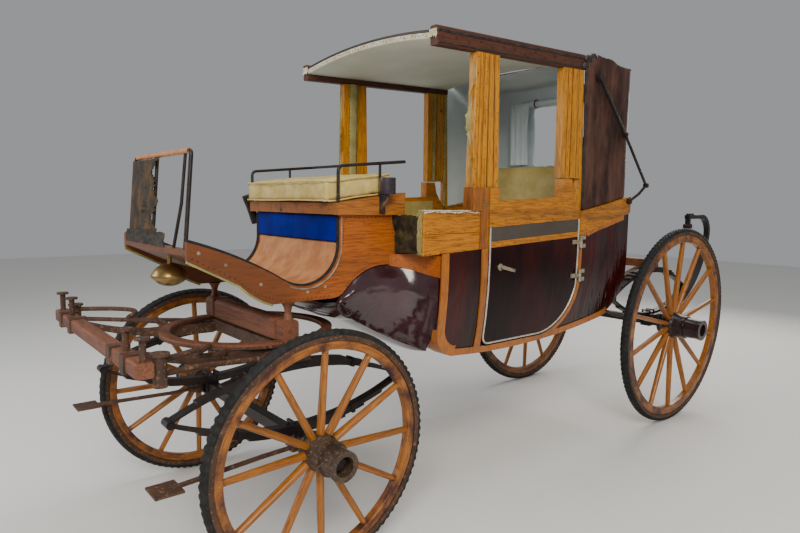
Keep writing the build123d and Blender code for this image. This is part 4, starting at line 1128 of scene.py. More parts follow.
@dataclass
class Hood:
    """Leather hood of the rear quarter, with its lining, bindings and rolled blind."""

    voxel: float = 0.009
    crease_depth: float = 0.0035
    bind_r: float = 0.007
    blind_x: float = 612.0
    blind_z: float = 2070.0

    def leather(self) -> None:
        """Build the creased leather shell, lined inside with pale cloth."""
        shape = node_copy("hood", self.voxel)
        crease(shape, (5.0, 5.0, 1.6), self.crease_depth, 0.3)
        crease(shape, (16.0, 16.0, 6.0), self.crease_depth * 0.4, 4.3)
        low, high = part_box("hood")
        middle = Vector(((low.x + high.x) / 2 + 0.05, 0.0, (low.z + high.z) / 2))
        inner = []
        for face in shape.faces:
            centre, normal = face.calc_center_median(), face.normal
            side_in = abs(centre.y) < 0.545 and normal.y * centre.y < 0
            back_in = centre.x > low.x + 0.016 and normal.x > 0.5 and abs(centre.y) < 0.53
            top_in = normal.z < -0.5 and centre.z > 2.0
            if (side_in or back_in or top_in) and normal.dot(middle - centre) > 0:
                inner.append(face.index)
        piece = finish_piece("hood_leather", shape, Palette.HOOD, "hood_leather", replaced="hood")
        piece.data.materials.append(Palette.LINING.material())
        for index in inner:
            piece.data.polygons[index].material_index = 1

    def bindings(self) -> None:
        """Build the dark seams down the hood's edges."""
        shape = bmesh.new()
        front = [(1030, 2135), (1022, 1900), (1016, 1500), (1015, 1392)]
        top = [(1030, 2138), (1002, 2192), (942, 2215), (868, 2211), (798, 2212), (722, 2194), (650, 2189), (592, 2190)]
        rear = [(536, 1914), (546, 1680), (552, 1480)]
        for line, y in ((front, 553.0), (top, 551.0), (rear, 500.0)):
            tube(shape, smooth_path([mm(x, y, z) for x, z in line], 4), self.bind_r, 8)
        finish_piece("hood_bindings", shape, Palette.BINDING, "hood_leather", pair=True)

    def fold(self) -> None:
        """Build the folded leather that bulges out at the top of the hood's front edge."""
        shape = bmesh.new()
        for x, z, r in ((1004, 2188, 0.030), (962, 2208, 0.024), (1030, 2150, 0.022)):
            place = Matrix.Translation(mm(x, 548, z)) @ Matrix.Diagonal((1.3, 0.55, 0.8, 1))
            bmesh.ops.create_icosphere(shape, subdivisions=3, radius=r, matrix=place)
        crease(shape, (30.0, 30.0, 30.0), 0.004, 2.0)
        finish_piece("hood_fold", shape, Palette.BINDING, "hood_leather", pair=True)

    def blind(self) -> None:
        """Build the cloth blind rolled up over the rear window, tied with two straps."""
        roll = bmesh.new()
        path = [mm(self.blind_x, y, self.blind_z) for y in range(-190, 191, 20)]
        tube(roll, path, [0.021 + 0.003 * sin(i * 1.9) for i in range(len(path))], 20)
        finish_piece("window_blind", roll, Palette.LINING, "roof_cloth")
        straps = bmesh.new()
        turns = [2 * pi * k / 20 for k in range(21)]
        for y in (-95.0, 95.0):
            loop = [mm(self.blind_x + 26 * cos(a), y, self.blind_z + 26 * sin(a)) for a in turns]
            tube(straps, loop, 0.0035, 8, up=OUTWARD)
        finish_piece("blind_straps", straps, Palette.DARK, "tan_leather")

    def build(self) -> None:
        """Build the hood's pieces."""
        for make in (self.leather, self.bindings, self.fold, self.blind):
            make()


@dataclass
class Cabin:
    """Roof, ceiling cloth, edge tapes, curtains, seats and linings of the body."""

    half: float = 499.0
    seat_half: float = 486.0
    front: float = 2106.0
    rear: float = 1040.0

    def arch(self, y: float, edge: float, rise: float) -> float:
        """Return the height of a crowned line over the roof's lower edge."""
        return edge + rise * (1 - (y / self.half) ** 2)

    def crescent(
        self, shape: Shape, x: float, foot: float, low: Pair, high: Pair, thick: float, edge: float, segments: int
    ) -> None:
        """Close an end of the roof with a board between two crowned lines.

        Args:
            shape: The mesh that takes the board.
            x: Its station.
            foot: The height of the roof's lower edge there.
            low: The lower line's edge and rise.
            high: The upper line's edge and rise.
            thick: Its thickness.
            edge: The bevel's width.
            segments: How many segments the bevel has.
        """
        across = range(-498, 499, 83)
        line = [mm(x, y, foot + self.arch(y, *low)) for y in across]
        line += [mm(x, -y, foot + self.arch(-y, *high)) for y in across]
        slab(shape, line, Vector((thick, 0, 0)), edge, segments)

    def roof(self) -> None:
        """Build the crowned roof with its dark cover, and the dark boards that close its two ends."""

        def top(u: float, v: float) -> Vector:
            """Return a point of the cover."""
            x = self.rear + (self.front - self.rear) * u
            y = (2 * v - 1) * self.half
            return mm(x, y, roof_z(x) + self.arch(y, 68.0, 36.0) + 1.5 * rough(x * 0.006, y * 0.012, 1.0))

        finish_piece("roof_cover", draped(48, 40, top, 0.008), Palette.BINDING, "roof_cloth", replaced="roof")
        ends = bmesh.new()
        for x in (self.front - 9, self.rear - 3):
            self.crescent(ends, x, roof_z(x), (36.0, 38.0), (70.0, 36.0), 0.007, 0.0015, 2)
        finish_piece("roof_ends", ends, Palette.CANTRAIL, "roof_cloth")

    def ceiling(self) -> None:
        """Build the pale ceiling cloth, drawn over four hoops."""

        def place(u: float, v: float) -> Vector:
            """Return a point of the cloth, which sags between the hoops."""
            x = self.rear + (self.front - 2 - self.rear) * u
            y = (2 * v - 1) * self.half
            sag = 3.0 * abs(sin(u * pi * 4)) * (1 - (y / self.half) ** 6)
            return mm(x, y, roof_z(x) + self.arch(y, 34.0, 38.0) - sag)

        piece = finish_piece("ceiling_cloth", draped(64, 40, place, 0.002), Palette.CEILING, "roof_cloth")

    def edge_tape(self) -> None:
        """Build the white tape along the roof's front edge, with its tacks and frayed ends."""
        tacks = bmesh.new()
        for k in range(-19, 20):
            z = 2080 + self.arch(k * 25.0, 45.0, 37.0) + 4 * sin(k * 2.2)
            knob(tacks, mm(2107, k * 25.0, z), 0.003, Vector((1, 0, 0)))
        finish_piece("roof_edge_tacks", tacks, Palette.IRON, "black_iron")
        tape = bmesh.new()
        self.crescent(tape, 2104.5, 2080, (33.0, 38.0), (57.0, 37.0), 0.002, 0.0006, 1)
        finish_piece("roof_edge_tape", tape, Palette.TAPE, "roof_cloth", smooth=False)
        for side in Side:

            def place(u: float, v: float, side: Side = side) -> Vector:
                """Return a point of the rag."""
                drop = (26 + frayed(u, 18, 1.7 * side.value)) * v
                return mm(2111 + 4 * sin(v * 7 + 1.2) * v, side.value * (541 - 46 * u), 2148 - drop)

            rag = draped(22, 14, place, 0.0012)
            piece = finish_piece(f"roof_rag_{side.word}", rag, Palette.TAPE, "roof_cloth")

    def cantrail_strips(self) -> None:
        """Build the black strips on the cantrails, with their screws."""
        shape = bmesh.new()
        low, high = self.front, 1036.0
        for z1, z2 in ((56.0, 66.0), (8.0, 14.0)):
            ends = ((low, z1), (high, z1), (high, z2), (low, z2))
            plank(shape, [(x, roof_z(x) + z) for x, z in ends], 546.2, 0.003, 0.001, 1)
        finish_piece("cantrail_strips", shape, Palette.BINDING, "black_iron", pair=True, smooth=False)
        screws = bmesh.new()
        stations = [(low - 30 - k * 78.0, k) for k in range(14)]
        knobs(screws, [(x, roof_z(x) + 34 + 9 * sin(k * 2.6)) for x, k in stations], 546.5, 0.005)
        finish_piece("cantrail_screws", screws, Palette.IRON, "black_iron", pair=True)

    def seats(self) -> None:
        """Build the two seats and the rear seat's back as filled pads."""
        back = [(654, 1156), (764, 1156), (742, 1500), (730, 1645), (700, 1672), (644, 1660), (622, 1500)]
        seat = [(608, 1046), (1072, 1046), (1072, 1143), (608, 1143)]
        front = [(1854, 1046), (2040, 1046), (2040, 1124), (1854, 1124)]
        for name, outline, node, finish in (
            ("rear_back_pad", back, "rear_seat_back", Palette.BACK),
            ("rear_seat_pad", seat, "rear_seat", Palette.BACK),
            ("front_seat_pad", front, "front_seat", Palette.CREAM),
        ):
            form = bmesh.new()
            plank(form, outline, 7 - self.seat_half, (2 * self.seat_half - 14) / 1000, 0.022, 3)
            shape = padded_mesh(form, 0.009, 0.012)
            crease(shape, (6.0, 6.0, 6.0), 0.004, 1.0)
            finish_piece(name, shape, finish, "cream_leather", replaced=node)

    def linings(self) -> None:
        """Build the cream panels inside the doors and the body's lower walls."""
        for side in Side:
            shape = bmesh.new()
            plank(shape, [(1150, 1250), (1690, 1225), (1690, 1405), (1150, 1430)], 505, -0.006, 0.002, 1)
            door_piece(side, "lining", shape, Palette.BACK, "cream_leather")
        panels = bmesh.new()
        plank(panels, [(1830, 1196), (2176, 1190), (2176, 1372), (1830, 1376)], 514, -0.008, 0.003, 2)
        for k in range(14):
            knob(panels, mm(1840 + k * 25.5, 505.5, 1364), 0.003, -OUTWARD)
        finish_piece("front_linings", panels, Palette.BACK, "cream_leather", pair=True)

    def curtains(self) -> None:
        """Hang the two pale curtains beside the rear window."""
        for side in Side:

            def place(u: float, v: float, side: Side = side) -> Vector:
                """Return a point of the gathered curtain."""
                wave = (5 + 4 * v) * sin(u * pi * 7 + 0.7 * sin(v * 3)) + 3 * rough(u * 6, v * 3, 2.0)
                return mm(634 + wave, side.value * (138 + 150 * u + 5 * sin(v * 4)), 2076 - 400 * v)

            cloth = draped(90, 40, place, 0.0012)
            piece = finish_piece(f"window_curtain_{side.word}", cloth, Palette.LINING, "roof_cloth")

    def post_rolls(self) -> None:
        """Build the olive padded rolls nailed to the inner faces of the posts."""
        rolls, nails = bmesh.new(), bmesh.new()
        for (x1, z1), (x2, z2), radius in (
            # station and height at the foot and at the top, roll radius
            ((1806, 1492), (1800, 2094), 26.0),
            ((1148, 1556), (1152, 2118), 15.0),
            ((1050, 1392), (1054, 2122), 13.0),
        ):
            path, radii = [], []
            for k in range(25):
                x, z = x1 + (x2 - x1) * k / 24, z1 + (z2 - z1) * k / 24
                path.append(mm(x, 497, z))
                radii.append(radius / 1000 * (1 + 0.07 * sin(k * 2.3) + 0.04 * sin(k * 5.1)))
                for edge in (-1, 1):
                    knob(nails, mm(x + edge * radius, 495, z + 7 * edge), 0.0032, -OUTWARD)
            tube(rolls, path, radii, 16, flat=0.42, up=OUTWARD)
        finish_piece("post_rolls", rolls, Palette.OLIVE, "cream_leather", pair=True)
        finish_piece("post_roll_nails", nails, Palette.IRON, "black_iron", pair=True)

    def build(self) -> None:
        """Build the cabin's pieces."""
        top = (self.roof, self.ceiling, self.edge_tape, self.cantrail_strips)
        for make in (*top, self.seats, self.linings, self.curtains, self.post_rolls):
            make()


@dataclass
class BodyTrim:
    """Door beads, belt bands, screws, tacks and torn cloth on the body's outside."""

    door_front: float = 1768.0
    door_rear: float = 1046.0
    door_low: float = 732.0
    band_low: float = 28.0
    band_high: float = 96.0
    inset: float = 6.0

    def door_line(self) -> list[Pair]:
        """Return the door's outline, a bead's width inside its edge."""
        front, rear, low = self.door_front - self.inset, self.door_rear + self.inset, self.door_low + self.inset
        line = [(front, belt(front) + self.band_high), (front, 1150), (front, 1000), (front, 870)]
        line += through((front, low + 46), (front - 13, low + 13), (front - 46, low), 6)
        line += [(1600, low), (1450, low), *through((1335, low), (1154, 806), (rear, 985), 14)]
        return [*line, (rear, 1080), (rear, 1170), (rear, belt(self.door_rear) + self.band_high)]

    def doors(self) -> None:
        """Build each door's white metal bead, grey belt band and rail screws."""
        low, high, rear, front = self.band_low + 1, self.band_high - 1, self.door_rear + 2, self.door_front - 2
        ends = ((rear, low), (front, low), (front, high), (rear, high))
        rail = [1100 + k * 92.0 for k in range(8)]
        for side in Side:
            bead, band, screws = bmesh.new(), bmesh.new(), bmesh.new()
            tube(bead, [mm(x, skin_y(z) + 1.5, z) for x, z in self.door_line()], 0.0048, 10, up=OUTWARD)
            door_piece(side, "bead", bead, Palette.BEAD, "brass")
            plank(band, [(x, belt(x) + z) for x, z in ends], 557.2, 0.0022, 0.0006, 1)
            door_piece(side, "band", band, Palette.BAND, "maroon_paint", smooth=False)
            knobs(screws, [(x, belt(x) + 116 + 9 * sin(k * 2.3)) for k, x in enumerate(rail)], 561.3, 0.004)
            knobs(screws, [(x + 20, belt(x) + 12) for x in rail], 561.3, 0.003)
            door_piece(side, "nails", screws, Palette.IRON, "black_iron")

    def screws(self) -> None:
        """Set screw heads and nails in the planks, posts and rails."""
        shape = bmesh.new()
        for (x1, z1), (x2, z2), y, count in (
            # first and last (station, height), distance out, how many
            ((1846, 1196), (2168, 1190), 557.3, 12),
            ((1846, 1372), (2168, 1372), 557.3, 9),
            ((1846, 1292), (2168, 1286), 557.3, 5),
            ((1796, 1500), (1800, 2070), 545.3, 11),
            ((1862, 1500), (1854, 2070), 545.3, 9),
            ((1706, 1520), (1716, 2070), 539.3, 8),
            ((1146, 1570), (1150, 2100), 541.3, 8),
            ((1190, 1570), (1194, 2100), 541.3, 6),
            ((1052, 1420), (1054, 2110), 545.3, 9),
            ((560, 1376), (1030, 1268), 567.5, 12),
            ((560, 1452), (1030, 1368), 567.5, 9),
        ):
            for k in range(count):
                share, wander = k / (count - 1), 3.0 * sin(k * 4.1 + x1)
                knobs(shape, [(x1 + (x2 - x1) * share + wander, z1 + (z2 - z1) * share + wander * 0.6)], y, 0.0032)
        finish_piece("body_nails", shape, Palette.IRON, "black_iron", pair=True)

    def post_lines(self) -> None:
        """Build the dark grooves between the posts' strips and the cloth torn along the front post."""
        shape = bmesh.new()
        for (x1, z1), (x2, z2), y, width in (
            # foot station and height, head station and height, distance out, width
            ((1769, 1492), (1774, 2092), 539.4, 5.0),
            ((1817, 1492), (1812, 2088), 545.3, 4.0),
            ((1846, 1492), (1838, 2086), 545.3, 2.5),
            ((1725, 1492), (1738, 2092), 539.3, 4.0),
            ((1164, 1552), (1168, 2118), 541.3, 4.0),
            ((1128, 1560), (1132, 2118), 541.0, 5.0),
            ((1076, 1560), (1080, 2120), 545.3, 4.0),
        ):
            plank(shape, [(x1, z1), (x1 + width, z1), (x2 + width, z2), (x2, z2)], y, 0.0006)
        finish_piece("post_grooves", shape, Palette.DARK, "dark_wood", pair=True, smooth=False)
        for side in Side:

            def strip(u: float, v: float, side: Side = side) -> Vector:
                """Return a point of the torn strip."""
                torn = frayed(v, 26, 5.0 + side.value) * max(0.15, sin(v * pi))
                out = 520 + 14 * sin(v * 9) * u + 3 * sin(v * 40)
                return mm(1872 - 9 * v + (2 + torn) * u, side.value * out, 1494 + 560 * v)

            rag = draped(10, 120, strip, 0.0016)
            piece = finish_piece(f"post_rag_{side.word}", rag, Palette.OLIVE, "cream_leather")

    def plates(self) -> None:
        """Build the small brass catch plate on each pillar block."""
        shape = bmesh.new()
        plank(shape, [(1786, 1404), (1812, 1404), (1812, 1428), (1786, 1428)], 563.0, 0.0025, 0.0008, 2)
        knobs(shape, ((1791, 1409), (1807, 1409), (1791, 1423), (1807, 1423)), 565.6, 0.002)
        finish_piece("catch_plates", shape, Palette.BRASS, "brass", pair=True)

    def torn_cloth(self) -> None:
        """Build the torn lining left on the planks' top edge and front end."""
        for side in Side:

            def along(u: float, v: float, side: Side = side) -> Vector:
                """Return a point of the cloth over the top edge."""
                out = 533 + 30 * v + 3 * rough(u * 30, v * 4, 1.0)
                drop = max(0.0, v - 0.45) * (10 + frayed(u, 16, 0.4 * side.value))
                return mm(1838 + 340 * u, side.value * out, 1383 + 3 * rough(u * 22, v * 5, 0.0) - drop)

            def hanging(u: float, v: float, side: Side = side) -> Vector:
                """Return a point of the rag down the front end."""
                edge = frayed(v, 14, 2.5 * side.value)
                x = 2183 + 3 * rough(u * 5, v * 9, 2.0) + edge * u * 0.4
                return mm(x, side.value * (520 + 36 * u + 2 * sin(v * 20)), 1384 - 192 * v)

            cloth = draped(110, 12, along, 0.0014)
            piece = finish_piece(f"plank_cloth_{side.word}", cloth, Palette.TAPE, "cream_leather")
            rag = draped(12, 60, hanging, 0.0014)
            piece = finish_piece(f"plank_rag_{side.word}", rag, Palette.OLIVE, "cream_leather")

    def build(self) -> None:
        """Build the body's trim."""
        for make in (self.doors, self.screws, self.post_lines, self.plates, self.torn_cloth):
            make()


@dataclass
class Boot:
    """The swelling patent leather below the box, and the dark recess behind the side plates."""

    rear: float = 2074.0
    nose: float = 2500.0
    tuck: float = 6.0
    wall: float = 0.72

    def plate_line(self) -> list[Pair]:
        """Return the side plate's half width by station."""
        return through((2074, 556), (2116, 456), (2217, 373), 16) + [(2520, 373)]

    def bulge(self) -> None:
        """Build the leather skin from one plate's arch round the bottom to the other's."""
        arch = through((2074, 1083), (2255, 1137), (2457, 1040), 24) + [(2482, 1018), (2500, 985)]
        low = through((2074, 724), (2240, 805), (2400, 890), 20) + through((2400, 890), (2466, 922), (2500, 975), 10)
        wide = through((2074, 546), (2130, 452), (2200, 414), 12) + [(2300, 408), (2420, 398), (2500, 382)]
        foot = through((2074, 470), (2180, 360), (2330, 344), 12) + [(2500, 352)]
        plate = self.plate_line()

        def place(u: float, v: float) -> Vector:
            """Return a point of the skin, dented by noise.

            Args:
                u: The share of the way from the rear to the nose.
                v: The share of the way round, from plate to plate.

            Returns:
                The point.
            """
            x = self.rear + (self.nose - self.rear) * sin(u * pi / 2) ** 0.9
            side, s = 1 if v < 0.5 else -1, 1 - abs(2 * v - 1)
            inner, under, z_top, z_low = read(plate, x) - self.tuck, read(foot, x), read(arch, x), read(low, x)
            outer = max(read(wide, x), inner)
            if s < self.wall:
                share = s / self.wall
                z = z_top + (z_low + 16 - z_top) * share
                if share < 0.3:
                    y = inner + (outer - inner) * sin(share / 0.3 * pi / 2)
                else:
                    y = outer + (under - outer) * ((share - 0.3) / 0.7) ** 1.7
            else:
                share = (s - self.wall) / (1 - self.wall)
                z = z_low + 16 * (1 - sin(min(1.0, share * 3) * pi / 2))
                y = under * (1 - share)
            dent = Vector((x * 0.012, y * 0.012, z * 0.014))
            pinch = 5.0 * noise.noise(dent) - 3.0 * abs(noise.noise(dent * 2.3))
            return mm(x, side * (y + pinch * min(1.0, s * 4) * (1 if s < self.wall else 0)), z)

        finish_piece("boot_leather", draped(90, 150, place, 0.003), Palette.BOOT, "maroon_paint", replaced="boot")

    def core(self) -> None:
        """Build the box inside the plates that the seat stands on."""
        shape = bmesh.new()
        for outline in (
            [(2190, 1064), (2190, 1357), (2462, 1357), (2462, 1064)],
            [(2077, 1000), (2077, 1176), (2188, 1196), (2188, 1000)],
        ):
            plank(shape, outline, -351, 0.702, 0.003, 2)
        finish_piece("boot_box", shape, Palette.DARK, "dark_wood")

    def recess(self) -> None:
        """Build the torn dark cloth in the corner between each plate and the planks."""
        plate = self.plate_line()
        for side in Side:

            def wall(u: float, v: float, side: Side = side) -> Vector:
                """Return a point of the upright cloth."""
                ripple = 4 * rough(u * 5, v * 6, 3.0 * side.value)
                return mm(2190 + ripple - 6 * u, side.value * (352 + 176 * u), 1192 + (172 - frayed(u, 9, 2.0)) * v)

            def ledge(u: float, v: float, side: Side = side) -> Vector:
                """Return a point of the cloth over the ledge."""
                x = 2079 + 124 * u
                return mm(x, side.value * (300 + (read(plate, x) - 326) * v), 1186 + 2 * rough(u * 4, v * 5, 1.0))

            for word, rule, size in (("wall", wall, (0.176, 0.17)), ("ledge", ledge, (0.124, 0.14))):
                cloth = draped(30, 30, rule, 0.002)
                piece = finish_piece(f"recess_{word}_{side.word}", cloth, Palette.SOOT, "black_leather")

    def build(self) -> None:
        """Build the boot's pieces."""
        for make in (self.bulge, self.core, self.recess):
            make()


@dataclass
class BoxSeat:
    """Cushion, apron, riser cloth, tacks and rims of the driver's box."""

    half: float = 366.0
    front: float = 2546.0
    rear: float = 2198.0
    plate: float = 375.0

    def cushion(self) -> None:
        """Build the cream box cushion, sunk where it is sat on, with its piping."""
        form = bmesh.new()
        foot_front, foot_rear = seat_z(2510), seat_z(2190)
        outline = [(self.front, foot_front + 8), (self.rear, foot_rear + 8)]
        outline += [(self.rear, foot_rear + 88), (self.front, foot_front + 88)]
        plank(form, outline, -self.half, 2 * self.half / 1000, 0.010, 2)
        shape = padded_mesh(form, 0.008, 0.008)
        for vert in shape.verts:
            if vert.normal.z > 0.5:
                y = vert.co.y
                vert.co.z -= 0.010 * max(0.0, 1 - (y / 0.30) ** 2) * (0.6 + 0.4 * sin(y * 14))
        crease(shape, (9.0, 9.0, 9.0), 0.004, 6.0)
        finish_piece("box_pad", shape, Palette.CREAM, "cream_leather", replaced="box_cushion")
        piping = bmesh.new()
        half_line = [(2547, -346), (2547, 346), (2530, 364), (2220, 364), (2203, 346)]
        corners = [*half_line, (2203, -346), (2220, -364), (2530, -364), (2547, -346)]
        for z in (89.0, 9.0):
            path = []
            for (x1, y1), (x2, y2) in zip(corners, corners[1:]):
                for k in range(8):
                    x = x1 + (x2 - x1) * k / 8
                    path.append(mm(x, y1 + (y2 - y1) * k / 8, seat_z(min(x, 2510)) + z + 1.5 * sin(k + x1)))
            tube(piping, [*path, path[0]], 0.0036, 8)
        finish_piece("box_pad_piping", piping, Palette.CREAM, "cream_leather")

    def apron(self) -> None:
        """Build the wrinkled tan leather that lines the leg well."""
        shape = node_copy("leather_apron", 0.007)
        crease(shape, (3.0, 3.5, 9.0), 0.004, 0.0)
        crease(shape, (22.0, 10.0, 22.0), 0.0012, 5.0)
        finish_piece("apron_leather", shape, Palette.TAN, "tan_leather", replaced="leather_apron")

    def riser(self) -> None:
        """Build the blue cloth on the riser, in two widths with a seam between."""
        shape = bmesh.new()
        for first, last in ((-351, -1.5), (1.5, 351)):
            points = [mm(2484, y, z) for y, z in ((first, 1248), (last, 1248), (last, 1357), (first, 1357))]
            slab(shape, points, Vector((0.006, 0, 0)), 0.0025, 3)
        finish_piece("riser_cloth", shape, Palette.BLUE, "blue_cloth")

    def rims(self) -> None:
        """Build the dark rims of the leg well and the pale beads beside them."""
        rim = [(2484, 1352), (2484, 1300), *through((2484, 1250), (2545, 1112), (2720, 1088), 16)]
        rim += through((2735, 1094), (2930, 1196), (3122, 1266), 12)
        bead = [(2476, 1356), (2476, 1300), *through((2476, 1250), (2538, 1103), (2720, 1077), 16)]
        for name, line, y, lift, radius, finish, slot in (
            ("leg_well_rims", rim, 363, 1, (0.0085, 10), Palette.RUBBER, "black_iron"),
            ("leg_well_beads", bead, 376, 0, (0.0035, 8), Palette.PEWTER, "brass"),
        ):
            shape = bmesh.new()
            tube(shape, [mm(x, y, z + lift) for x, z in line], *radius, up=OUTWARD)
            finish_piece(name, shape, finish, slot, pair=True)

    def tacks(self) -> None:
        """Set the rows of dark tacks along the side plates' edges, and the pale bolts of the planks."""
        shape = bmesh.new()
        for row in (
            through((2103, 1098), (2255, 1152), (2450, 1058), 26),
            through((2200, 1350), (2190, 1262), (2125, 1212), 12),
            [(2232 + 22 * k, 1350) for k in range(11)],
            through((2462, 1340), (2466, 1290), (2466, 1240), 8),
            through((2540, 1026), (2660, 1024), (2780, 1026), 12),
            through((2796, 1036), (2868, 1064), (2936, 1114), 10),
            [(2950 + 20 * k, 1124 + 10.2 * k) for k in range(9)],
        ):
            knobs(shape, row, self.plate + 0.4, 0.0028, 0.4)
        finish_piece("plate_tacks", shape, Palette.IRON, "black_iron", pair=True)
        bolts = bmesh.new()
        places = ((2556, 1064), (2640, 1050), (2846, 1096), (2986, 1178), (3086, 1226))
        knobs(bolts, places, self.plate + 0.2, 0.008, 0.4)
        finish_piece("plank_bolts", bolts, Palette.PEWTER, "brass", pair=True)

    def edge_strip(self) -> None:
        """Build the pale nailed strip under the footboard's side planks."""
        shape = bmesh.new()
        lower = [(2790, 1013), *through((2794, 1014), (2862, 1046), (2931, 1100), 8), (3128, 1200)]
        tube(shape, [mm(x, 366, z - 1.5) for x, z in lower], 0.008, 8, flat=0.4, up=OUTWARD)
        finish_piece("footboard_edge_strips", shape, Palette.OLIVE, "cream_leather", pair=True)

    def lamps(self) -> None:
        """Build the bent arms under the lamp sockets, and the far socket that has dropped."""
        shape = bmesh.new()
        line = ((2282, 437, 1452), (2284, 438, 1424), (2300, 430, 1400), (2292, 414, 1380), (2276, 404, 1366))
        path = smooth_path([mm(*p) for p in line])
        tube(shape, path, [0.009 - 0.00012 * k for k in range(len(path))], 10)
        finish_piece("lamp_arms", shape, Palette.RUST, "black_iron", pair=True)
        fallen = bmesh.new()
        barrel = [mm(2515 - 52 * k / 6, -430, 1440 - 140 * k / 6) for k in range(7)]
        tube(fallen, barrel, [0.023, 0.0235, 0.021, 0.021, 0.021, 0.0225, 0.022], 20)
        tube(fallen, [mm(2492, -424, 1378), mm(2486, -402, 1382), mm(2480, -386, 1386)], 0.008, 10)
        finish_piece("fallen_lamp_socket", fallen, Palette.IRON, "black_iron")

    def build(self) -> None:
        """Build the box's pieces."""
        for make in (self.cushion, self.apron, self.riser, self.rims, self.tacks, self.edge_strip, self.lamps):
            make()


@dataclass
class Dash:
    """The torn dash leather, its lower flap and the leather sewn over the top bar."""

    foot_x: float = 3112.0
    lean: float = 30.0
    foot_z: float = 1238.0
    top_z: float = 1590.0

    def at_height(self, z: float) -> float:
        """Return the dash's station at a height."""
        return self.foot_x - self.lean * (z - self.foot_z) / (self.top_z - self.foot_z)

    def leather(self) -> None:
        """Build the ragged leather left in the frame, and the creased flap along its foot."""

        def torn(u: float, v: float) -> Vector:
            """Return a point of the ragged leather."""
            z = self.foot_z + 12 + (self.top_z - self.foot_z - 26) * v
            wide = 255 + frayed(v, 90, 0.7) * (1.0 if v > 0.08 else 0.5)
            bulge = 7 * sin(u * 5 + v * 2) + 6 * rough(u * 4, v * 5, 0)
            return mm(self.at_height(z) + 14 + bulge * u, -314 + wide * u, z)

        def flap(u: float, v: float) -> Vector:
            """Return a point of the flap."""
            z = self.foot_z - 4 + (56 - frayed(u, 7, 4.0)) * v
            return mm(self.at_height(z) + 19 + 5 * rough(u * 9, v * 3, 5.0), -330 + 470 * u, z)

        shape = draped(60, 70, torn, 0.003)
        piece = finish_piece("dash_torn_leather", shape, Palette.TORN, "black_leather", replaced="dash_leather")
        piece = finish_piece("dash_flap", draped(90, 14, flap, 0.003), Palette.WORN, "black_leather")

    def top_wrap(self) -> None:
        """Build the leather sewn round the top bar."""
        shape = bmesh.new()
        path = [mm(self.foot_x - self.lean, y, self.top_z + 0.6 * sin(y * 0.05)) for y in range(-292, 297, 14)]
        tube(shape, path, [0.0105 + 0.0008 * sin(k * 1.7) for k in range(len(path))], 12)
        finish_piece("dash_top_wrap", shape, Palette.TAN, "tan_leather")

    def build(self) -> None:
        """Build the dash's pieces."""
        self.leather()
        self.top_wrap()


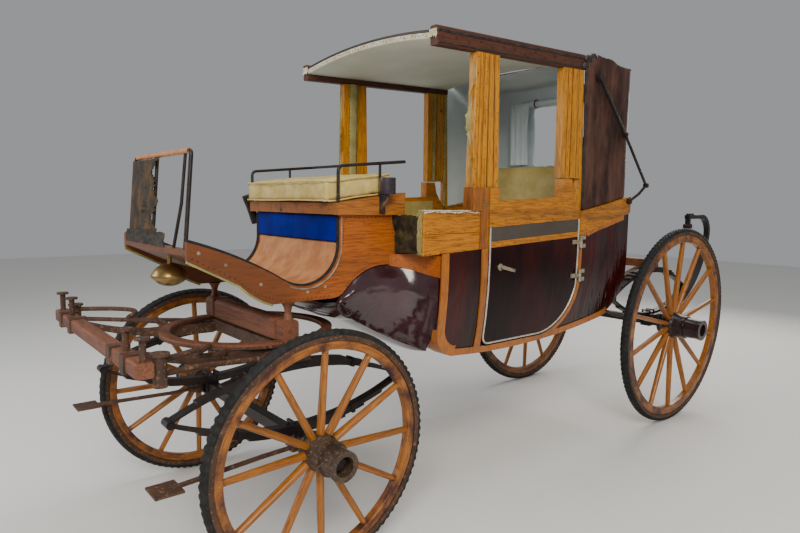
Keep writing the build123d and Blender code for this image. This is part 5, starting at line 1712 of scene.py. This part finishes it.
@dataclass
class Studio:
    """The floor, the soft lights and the camera at the photograph's place."""

    eye: Point = (3912.0, 2483.5, 1415.6)
    yaw: float = -2.2654
    pitch: float = -0.1054
    roll: float = 0.0134
    lens: float = 27.354
    surround: tuple[Point, float] = ((0.86, 0.88, 0.90), 0.38)

    def camera(self) -> None:
        """Set the camera where the photograph was taken from."""
        data = bpy.data.cameras.new("photo_camera")
        data.lens = self.lens
        data.sensor_width = 36.0
        data.dof.use_dof = False
        data.clip_end = 200
        look = Vector((cos(self.yaw) * cos(self.pitch), sin(self.yaw) * cos(self.pitch), sin(self.pitch)))
        turn = look.to_track_quat("-Z", "Y") @ Quaternion((0, 0, 1), self.roll)
        eye = placed("photo_camera", data)
        eye.matrix_world = Matrix.Translation(mm(*self.eye)) @ turn.to_matrix().to_4x4()
        bpy.context.scene.camera = eye

    def floor(self) -> None:
        """Lay the pale floor."""
        shape = bmesh.new()
        bmesh.ops.create_grid(shape, x_segments=8, y_segments=8, size=14.0)
        mesh = bpy.data.meshes.new("studio_floor")
        shape.to_mesh(mesh)
        shape.free()
        mesh.materials.append(Palette.FLOOR.material())
        placed("studio_floor", mesh)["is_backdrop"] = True

    def lights(self) -> None:
        """Hang the soft lights and set the pale surround."""
        for name, place, size, power, colour in (
            ("key", (3.8, 4.2, 3.9), 2.6, 330.0, (1.0, 0.95, 0.86)),
            ("left_fill", (4.8, -2.8, 2.6), 2.6, 80.0, (0.93, 0.96, 1.0)),
            ("rear_fill", (-5.2, -0.6, 3.2), 2.4, 110.0, (1.0, 0.94, 0.86)),
            ("top", (0.0, 0.0, 5.6), 4.0, 100.0, (1.0, 1.0, 1.0)),
        ):
            data = bpy.data.lights.new(name, "AREA")
            data.size, data.energy, data.color = size, power, colour
            aim = Vector((0, 0, 0.9)) - Vector(place)
            turn = aim.to_track_quat("-Z", "Y").to_matrix().to_4x4()
            placed(name, data).matrix_world = Matrix.Translation(place) @ turn
        world = bpy.data.worlds.new("pale_surround")
        world.use_nodes = True
        inputs = world.node_tree.nodes["Background"].inputs
        inputs["Color"].default_value = (*self.surround[0], 1)
        inputs["Strength"].default_value = self.surround[1]
        bpy.context.scene.world = world

    def build(self) -> None:
        """Set the camera, floor and lights."""
        self.camera()
        self.floor()
        self.lights()


class Ironwork:
    """The CAD nodes that keep their shape and only need a finish."""

    table: tuple[tuple[Finish, str], ...] = (
        (Palette.MAROON, "tub"),
        (Palette.DOOR, "door_left door_right"),
        (Palette.RAIL, "belt_rails front_planks door_left_rail door_right_rail"),
        (Palette.POST, "posts rear_posts"),
        (Palette.BLOCK, "pillar_blocks"),
        (Palette.CANTRAIL, "cantrails"),
        (Palette.PLATE, "side_plates"),
        (Palette.FOOT, "footboard rear_bar seat_bench"),
        (Palette.CHEEK, "seat_box"),
        (Palette.BLUE, "riser_panel"),
        (Palette.IRON, "dash_frame seat_rail landau_irons front_axle rear_axle front_springs rear_springs c_springs"),
        (Palette.STEEL, "lamp_sockets"),
        (Palette.BRASS, "foot_gong"),
        (Palette.RUST, "futchells splinter_irons wheel_irons steps lower_bed body_loops"),
        (Palette.UNDER, "splinter_bar upper_bed"),
        (Palette.PEWTER, "body_hinges door_left_hinges door_right_hinges"),
        (Palette.MOULDING, "body_mouldings"),
    )

    def build(self) -> None:
        """Dress each node in the table."""
        for finish, nodes in self.table:
            dress(finish, *nodes.split())


def corners() -> list[list[float]]:
    """Return the whole object's box as plain lists."""
    return [list(map(float, corner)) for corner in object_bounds()]


def main() -> None:
    """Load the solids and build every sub-assembly."""
    logging.basicConfig(level=logging.INFO, format="%(name)s %(message)s")
    FRAME.update(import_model())
    low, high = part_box("rear_left_tyre")
    FRAME["rear_axle_x"] = (low.x + high.x) / 2
    ends = (("front", 0.475, 360, Palette.NAVE), ("rear", 0.636, 480, Palette.REAR_NAVE))
    wheels = [Wheel(end, side, *sizes) for end, *sizes in ends for side in Side]
    for part in (Studio(), Ironwork(), *wheels, Hood(), Cabin(), BodyTrim(), Boot(), BoxSeat(), Dash()):
        part.build()


if __name__ == "__main__":
    main()
